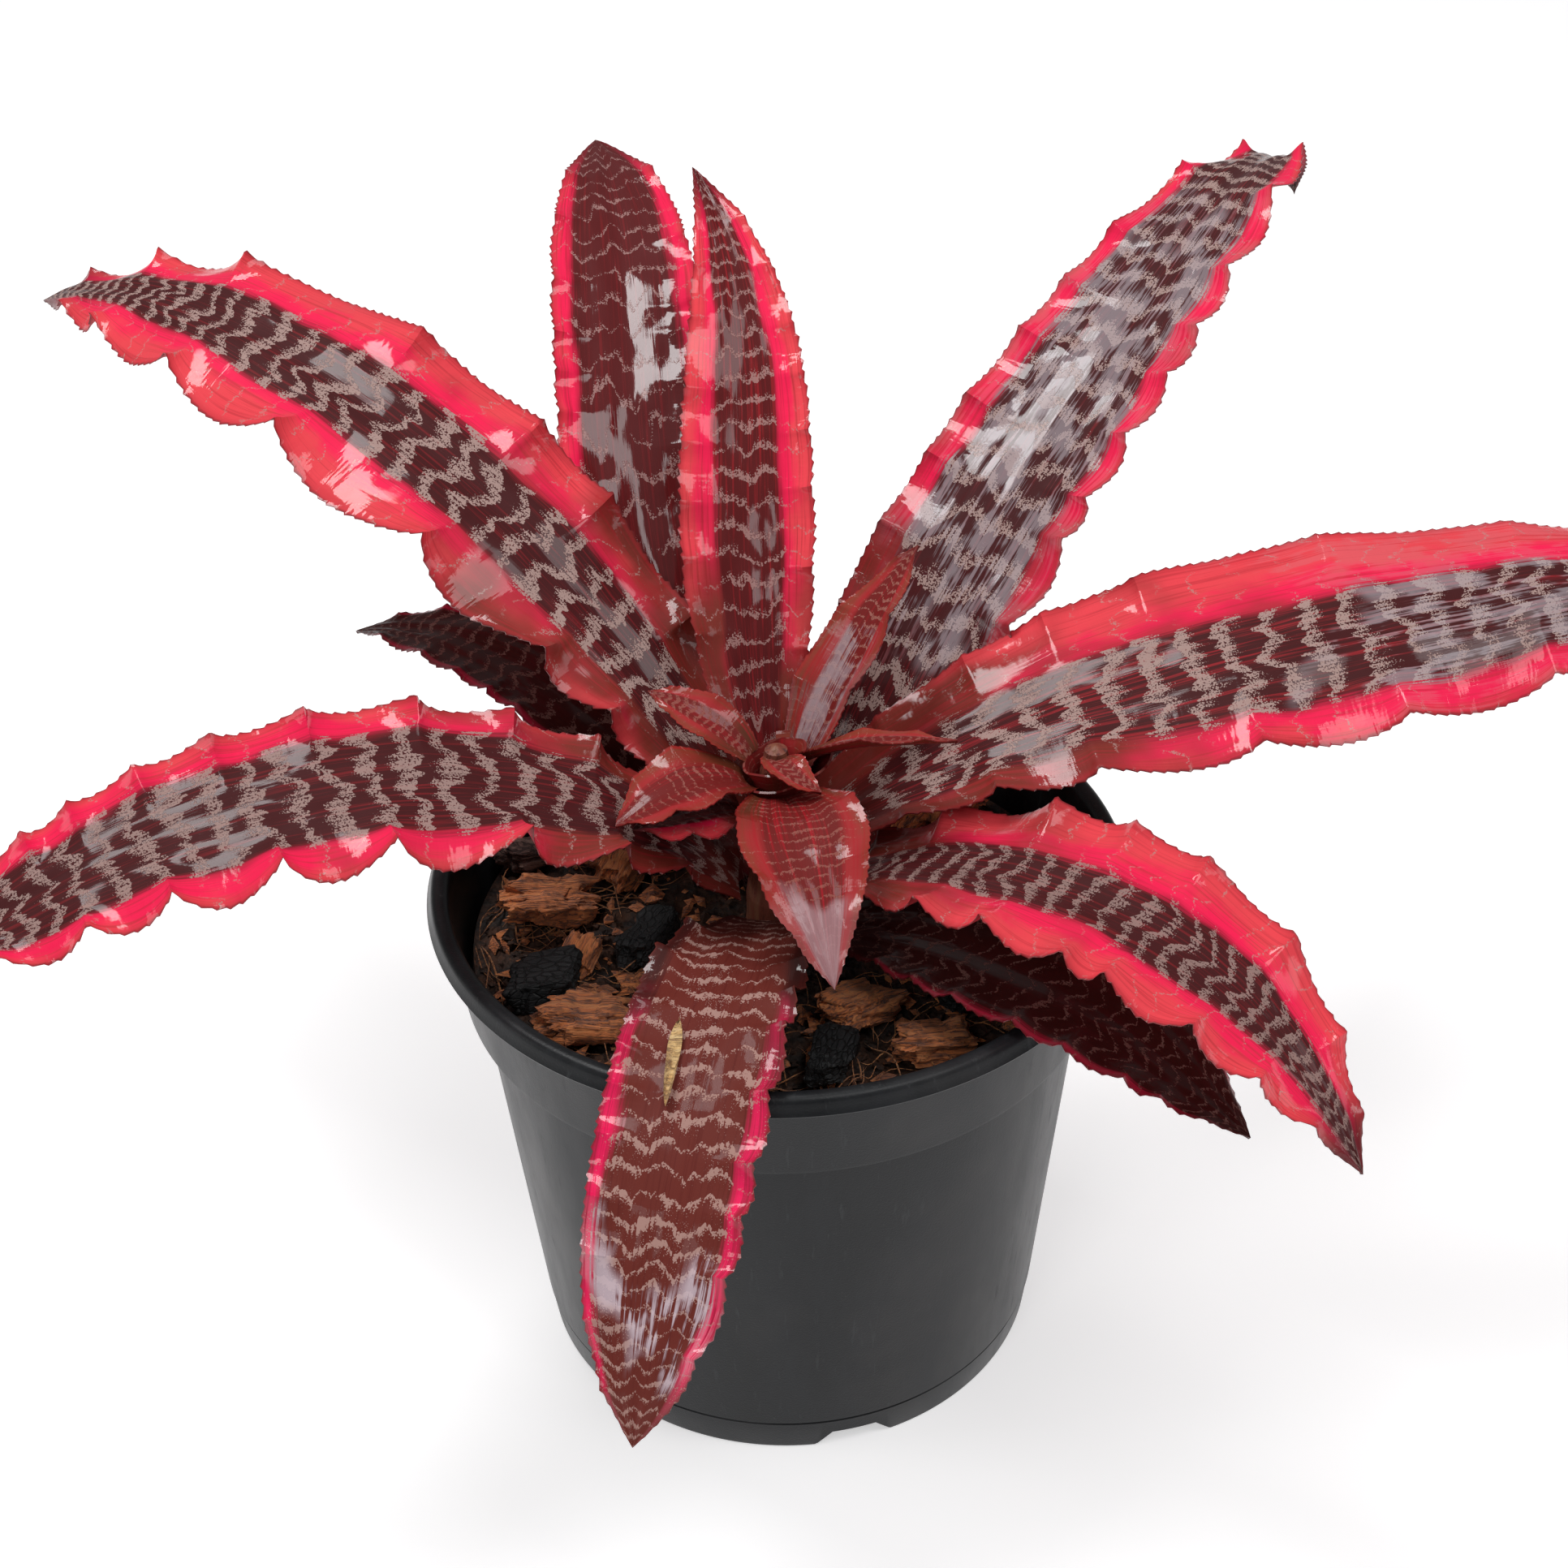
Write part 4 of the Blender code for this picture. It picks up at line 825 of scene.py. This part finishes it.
# turn (degrees), length, width, thickness (mm), tilt (degrees), kind, as in the part.
CHIPS = {
    "husk_chip_left": (20, 17, 14, 6, 14, "husk"),
    "husk_chip_back": (65, 15, 12, 6, -10, "husk"),
    "husk_chip_front_left": (8, 15, 12, 6, 12, "husk"),
    "husk_chip_front_mid": (40, 14, 11, 6, 10, "husk"),
    "husk_chip_front_right": (12, 15, 10, 6, 8, "husk"),
    "husk_chip_middle": (70, 8, 6, 4, -12, "husk"),
    "husk_chip_right": (100, 15, 12, 6, 8, "husk"),
    "husk_chip_back_right": (50, 16, 12, 6, -8, "husk"),
    "charcoal_left": (68, 14, 7, 6, 6, "charcoal"),
    "charcoal_front_left": (5, 13, 9, 6, -6, "charcoal"),
    "charcoal_front": (75, 13, 9, 6, 6, "charcoal"),
    "charcoal_right": (30, 11, 9, 6, 6, "charcoal"),
    "bark_back_left": (30, 12, 9, 6, 10, "bark"),
    "bark_back": (10, 16, 11, 6, -8, "bark"),
}


def chip_points(length, width, thick, kind, seed, rows=46, cols=64):
    """A rough block in mm: an ellipsoid whose coordinates are raised to a small power until it is nearly
    a box, skewed, with lumps, lengthwise fibre ridges (husk), sharp steps (charcoal) or thin layers
    (bark), and ends frayed by a different amount on each fibre."""
    power = {"husk": 0.42, "charcoal": 0.26, "bark": 0.36}[kind]
    lat = np.linspace(0, np.pi, rows)[:, None]
    lon = np.linspace(0, 2 * np.pi, cols, endpoint=False)[None, :]

    def soft(c):
        return np.sign(c) * np.abs(c) ** power

    x = soft(np.cos(lat)) + 0 * lon
    y = soft(np.sin(lat)) * soft(np.cos(lon))
    z = soft(np.sin(lat)) * soft(np.sin(lon))
    p = np.stack([x * length / 2, y * width / 2, z * thick / 2], -1)
    lumps = rough(p * 0.20 + seed, seed, 4)
    p = p * (1 + 0.80 * lumps[..., None])
    p[..., 0] += 0.16 * p[..., 1] * math.sin(seed * 2.1)
    p[..., 1] *= 1 + 0.018 * p[..., 0] * math.cos(seed * 3.3)
    stretch = {"husk": (0.12, 1.5, 1.5), "charcoal": (0.5, 0.8, 0.8), "bark": (0.12, 0.5, 2.2)}[kind]
    depth = {"husk": 1.25, "charcoal": 0.9, "bark": 1.0}[kind]
    ridge = rough(p * np.array(stretch), seed + 3, 3)
    if kind == "charcoal":
        ridge = np.round(ridge * 6) / 6
    out = p / np.maximum(np.linalg.norm(p, axis=-1, keepdims=True), 1e-6)
    p = p + out * (ridge * depth)[..., None]
    if kind == "husk":
        end = smoothstep(0.60, 1.0, np.abs(x))
        p[..., 0] += np.sign(x) * end * 5.0 * rough(p * np.array((0.0, 0.8, 0.8)), seed + 8, 3)
    return p


def add_chip(name, row, mats, seed):
    """A chip laid on the mix at its CAD node's place, resting at that node's lowest point."""
    turn, length, width, thick, tilt, kind = row
    p = chip_points(length, width, thick, kind, seed)
    rows, cols = p.shape[:2]
    grain = p.reshape(-1, 3) + seed * 11.0
    spin = Matrix.Rotation(math.radians(turn), 3, "Z") @ Matrix.Rotation(math.radians(tilt), 3, "Y")
    verts = p.reshape(-1, 3) @ np.array(spin).T * 0.001
    low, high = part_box(name)
    centre = (np.array(low) + np.array(high)) / 2
    verts = verts + centre
    verts[:, 2] += low[2] - 0.0004 - verts[:, 2].min()
    faces = grid_quads(rows, cols, close=True)
    return solid(name + "_piece", verts, faces, [mats[kind]], None, 55, {"grain": grain}, name, True)


def fibre_tubes(paths, radii, sides=4):
    """Closed thin tubes along many paths at once: the cross direction from the path and the vertical,
    the radius tapering towards both ends."""
    paths = np.asarray(paths, float)
    count, rows = paths.shape[:2]
    along = np.gradient(paths, axis=1)
    along /= np.linalg.norm(along, axis=-1, keepdims=True)
    side = np.cross(along, (0.05, 0.02, 1.0))
    side /= np.linalg.norm(side, axis=-1, keepdims=True)
    over = np.cross(side, along)
    b = np.arange(sides) * 2 * math.pi / sides
    s = np.linspace(0, 1, rows)
    taper = (0.25 + 0.75 * np.sin(np.pi * np.clip(s * 0.96 + 0.02, 0, 1)))[None, :, None, None]
    ring = np.cos(b)[:, None] * side[:, :, None] + np.sin(b)[:, None] * over[:, :, None]
    verts = paths[:, :, None] + ring * taper * np.asarray(radii)[:, None, None, None]
    quads = grid_quads(rows, sides, close=True)
    ends = np.array([list(range(sides))[::-1], list(range((rows - 1) * sides, rows * sides))])
    one = np.concatenate([quads, ends])
    faces = (one[None] + rows * sides * np.arange(count)[:, None, None]).reshape(-1, 4)
    return verts.reshape(-1, 3), faces


# x, y, heading (degrees), length, bow, lift (mm) of the long strands, as in the part.
STRANDS = {
    "coir_strand_a": (-65, -5, -74, 22, 1.0, 2.2),
    "coir_strand_b": (-56, -34, -36, 20, -2.0, 2.4),
    "coir_strand_c": (-31, -24, 2, 24, 2.0, 2.0),
    "coir_strand_d": (-12, -48, -14, 18, -2.0, 2.2),
    "coir_strand_e": (-61, 12, -110, 14, 1.5, 2.0),
}


def add_strands(mat):
    """Coir: the five long strands, three finer ones beside each, and a hundred and seventy strewn over
    the mix, more of them at the left and the front; each an arc with a slow wave on or over the mix."""
    rng = np.random.default_rng(11)
    rows = []
    for x, y, head, length, bow, lift in STRANDS.values():
        rows.append((x, y, math.radians(head), length, bow, lift - 0.5, 0.28))
        for _ in range(3):
            near = (x + rng.uniform(-2, 2), y + rng.uniform(-2, 2))
            rows.append((*near, math.radians(head + rng.uniform(-25, 25)), length * rng.uniform(0.6, 1.0),
                         bow * rng.uniform(-1, 2), lift - 0.8, 0.16))
    for _ in range(170):
        spot = rng.random()
        side = (2.7, 4.1) if spot < 0.45 else (4.3, 5.6) if spot < 0.75 else (0, 6.28)
        a = rng.uniform(*side)
        r = 62 * math.sqrt(rng.uniform(0.16, 0.98))
        head = rng.uniform(0, 2 * math.pi)
        length = rng.uniform(5, 19)
        reach = np.hypot(r * math.cos(a) + length * math.cos(head), r * math.sin(a) + length * math.sin(head))
        if reach > 65:
            head = a + math.pi + rng.uniform(-1.1, 1.1)
        rows.append((r * math.cos(a), r * math.sin(a), head, length, rng.uniform(-3.5, 3.5),
                     rng.uniform(0.6, 3.6), rng.uniform(0.10, 0.22)))
    rows = np.array(rows)
    s = np.linspace(0, 1, 9)[None]
    x, y, head, length, bow, lift, radius = (rows[:, k, None] for k in range(7))
    px = x + length * s * np.cos(head) - bow * np.sin(np.pi * s) * np.sin(head)
    py = y + length * s * np.sin(head) + bow * np.sin(np.pi * s) * np.cos(head)
    far = np.maximum(np.hypot(px, py) / 66.5, 1)
    px, py = px / far, py / far
    pz = mix_height(px * 0.001, py * 0.001) * 1000 + lift + 0.9 * np.sin(2.4 * np.pi * s + head * 5)
    verts, faces = fibre_tubes(np.stack([px, py, pz], -1), radius[:, 0])
    return solid("coir_fibres", verts * 0.001 + AXIS, faces, [mat], fields={"grain": verts},
                 node=list(STRANDS))


def add_scrap(mat):
    """A dry flake on the front hanging leaf: a narrow curled strip that follows the leaf, its edges
    lifted, thin all over."""
    leaf = LEAVES["leaf_front_hanging"]
    t = np.linspace(0.385, 0.525, 30)
    v = np.linspace(-0.36, -0.20, 9)
    top, up = leaf_face("leaf_front_hanging", leaf, t, v, 8.0)
    s = np.linspace(0, 1, 30)[:, None, None]
    u = np.linspace(-1, 1, 9)[None, :, None]
    width = 0.06 + 0.94 * np.sin(np.pi * s ** 0.8) ** 0.8 + 0.12 * np.sin(9 * s)
    centre = top.mean(1, keepdims=True)
    swing = leaf_face("leaf_front_hanging", leaf, t, np.array([-0.30, -0.18]), 8.0)[0]
    lean = (swing[:, 1:] - swing[:, :1]) * (s - 0.5) * 0.9
    lift = 1.0 + 0.7 * u ** 2 + 0.5 * np.sin(7 * s + 2 * u) + 0.35 * (2 * s - 1) ** 2
    face = centre + (top - centre) * width + lean + up[:, None, :] * lift
    low = face - up[:, None, :] * 0.25
    verts = np.concatenate([face.reshape(-1, 3), low.reshape(-1, 3)])
    return solid("dry_flake", verts * 0.001 + AXIS, sheet_faces(30, 9), [mat], None, 50, {"grain": verts},
                 "dry_scrap", True)


def add_heart_roll(name, mat, r_in, r_out, low, high, start, turns, lean):
    """A small rolled leaf base: a sheet wound round the heart, its radius growing with the angle and with
    height, its lip flaring out and dipping towards the front."""
    a = np.linspace(0, 1, 90)[:, None]
    h = np.linspace(0, 1, 18)[None, :]
    angle = math.radians(start) + a * turns * 2 * math.pi
    flare = 1 + 0.55 * h ** 2.2
    r = (r_in + (r_out - r_in) * a) * flare
    z = low + (high - low) * h * (0.80 + 0.20 * np.sin(angle * 1.0 + 1.8)) + 0.25 * np.sin(5 * angle) * h ** 2
    face = np.stack([r * np.cos(angle) + lean[0] * h, r * np.sin(angle) + lean[1] * h, z], -1)
    out = np.stack([np.cos(angle) + 0 * h, np.sin(angle) + 0 * h, -0.5 * h + 0 * angle], -1)
    back = face + out * 0.45
    verts = np.concatenate([face.reshape(-1, 3), back.reshape(-1, 3)])
    v = np.stack(np.broadcast_arrays((a * 2 - 1) * 0.8, h * 16, h * 6), -1).reshape(-1, 3)
    return solid(name, verts * 0.001 + AXIS, sheet_faces(90, 18), [mat], None, 60,
                 {"blade": np.concatenate([v, v])}, turn=True)


def stem_material():
    """Fleshy stem: fine fibres running up it, red-brown with paler bundles."""
    mat, net, shader = finish_of("stem_fleshy", 0.5)
    at = net.add("TexCoord").outputs["Object"]
    out = place(net, FIBRE, {"Place": net.scale(at, (900, 900, 160)), "Dark": (0.05, 0.012, 0.01, 1),
                             "Light": (0.20, 0.05, 0.03, 1), "Pale": (0.26, 0.12, 0.06, 1)})
    wire(net, shader, out["Colour"], None, None, out["Height"], 0.0004, 0.5)
    return mat


# ---------------------------------------------------------------- build
for seed, (leaf_name, leaf_row) in enumerate(LEAVES.items()):
    add_leaf(leaf_name, leaf_row, float(seed))

roll_mat = blade_material("heart_roll", dict(L=17, W=20), 31.0, YOUNG,
                          {"Zone": 0.3, "Scale Amount": 0.25, "Band Share": 0.3})
add_heart_roll("heart_roll_outer", roll_mat, 6.2, 7.6, 139, 152.0, 120, 0.92, (0.3, -1.0))
add_heart_roll("heart_roll_inner", roll_mat, 3.6, 4.9, 142, 153.5, -30, 0.95, (0.2, -0.8))

add_pot()
MIX = mix_material()
add_mix(MIX)
MATS = {
    "husk": husk_material("husk_fibrous", (0.11, 0.028, 0.010, 1), (0.74, 0.225, 0.070, 1),
                          (0.82, 0.34, 0.125, 1), 1),
    "charcoal": charcoal_material(),
    "bark": bark_material(),
}
for seed, (chip_name, chip_row) in enumerate(CHIPS.items()):
    add_chip(chip_name, chip_row, MATS, seed * 1.37 + 0.5)
crumbs("mix_crumbs", 1500, 0.0017, 5, MIX)
crumbs("husk_bits", 420, 0.0034, 8, MATS["husk"], height=5 / 7)
COIR = husk_material("coir_strand", (0.20, 0.060, 0.018, 1), (0.58, 0.22, 0.075, 1), (0.66, 0.34, 0.14, 1), 2)
add_strands(COIR)
SCRAP = husk_material("dry_flake_straw", (0.46, 0.21, 0.075, 1), (0.80, 0.50, 0.20, 1),
                      (0.86, 0.64, 0.34, 1), 3)
add_scrap(SCRAP)
NODES["stem"].data.materials.clear()
NODES["stem"].data.materials.append(stem_material())


# ---------------------------------------------------------------- stage, camera, light
floor_mesh = bpy.data.meshes.new("floor")
floor_mesh.from_pydata([(-6, -6, 0), (6, -6, 0), (6, 6, 0), (-6, 6, 0)], [], [(0, 1, 2, 3)])
floor = bpy.data.objects.new("floor", floor_mesh)
bpy.context.scene.collection.objects.link(floor)
floor_mat, _, floor_shader = finish_of("floor_white", 0.6)
floor_shader.inputs["Base Color"].default_value = (0.80, 0.796, 0.80, 1)
floor_shader.inputs["Emission Color"].default_value = (1.0, 0.995, 1.0, 1)
floor_shader.inputs["Emission Strength"].default_value = 0.50
floor_mesh.materials.append(floor_mat)

# World strength: low as a source of light, bright where the camera sees it past the floor.
AMBIENT = 0.18
BACKDROP = 0.95
world = bpy.data.worlds.new("studio")
bpy.context.scene.world = world
world.use_nodes = True
background = world.node_tree.nodes["Background"]
background.inputs["Color"].default_value = (1, 1, 1, 1)
world_net = Net(world.node_tree)
seen = world_net.add("LightPath").outputs["Is Camera Ray"]
strength = world_net.fma(seen, BACKDROP - AMBIENT, AMBIENT)
world.node_tree.links.new(strength, background.inputs["Strength"])


def softbox(name, direction, distance, size, radiance, aim=(0, 0, 0.13)):
    """An area light of the given radiance, that way from the plant, facing it."""
    light = bpy.data.lights.new(name, "AREA")
    light.shape = "RECTANGLE"
    light.size, light.size_y = size
    light.energy = radiance * math.pi * size[0] * size[1]
    obj = bpy.data.objects.new(name, light)
    target = Vector(AXIS) + Vector(aim)
    way = Vector(direction).normalized()
    obj.location = target + way * distance
    obj.rotation_euler = (-way).to_track_quat("-Z", "Y").to_euler()
    bpy.context.scene.collection.objects.link(obj)


softbox("softbox_top", (-0.30, 0.22, 1.0), 1.5, (0.55, 0.50), 13.0)
softbox("softbox_above", (0.35, -0.30, 1.0), 1.7, (0.75, 0.75), 5.0)
softbox("softbox_front", (-0.32, -0.80, 0.75), 1.6, (0.40, 0.30), 6.0)
softbox("softbox_right", (0.95, -0.25, 0.45), 1.5, (0.5, 0.8), 2.2)
softbox("softbox_left", (-1.0, -0.05, 0.30), 1.5, (0.5, 0.8), 2.2)

# The camera looks down by TILT and leans by LEAN at AIM, in metres from the plant's foot, from REACH
# metres away; FOCAL_SHARE is its focal length over the frame's width.
AIM = (0.0015, 0, 0.1430)
TILT = math.radians(36.1)
LEAN = math.radians(-1.4)
REACH = 0.5987
SENSOR = 36
FOCAL_SHARE = 3500 / 1932
cam = bpy.data.cameras.new("camera")
cam.lens = SENSOR * FOCAL_SHARE
cam.sensor_width = SENSOR
camera = bpy.data.objects.new("camera", cam)
target = Vector(AXIS) + Vector(AIM)
forward = Vector((0, math.cos(TILT), -math.sin(TILT)))
level = Vector((1, 0, 0))
over = Vector((0, math.sin(TILT), math.cos(TILT)))
right = level * math.cos(LEAN) + over * math.sin(LEAN)
above = over * math.cos(LEAN) - level * math.sin(LEAN)
turned = Matrix((right, above, -forward)).transposed().to_4x4()
camera.matrix_world = Matrix.Translation(target - forward * REACH) @ turned
bpy.context.scene.collection.objects.link(camera)
bpy.context.scene.camera = camera
bpy.context.scene.view_settings.view_transform = "Standard"

bpy.context.view_layer.update()
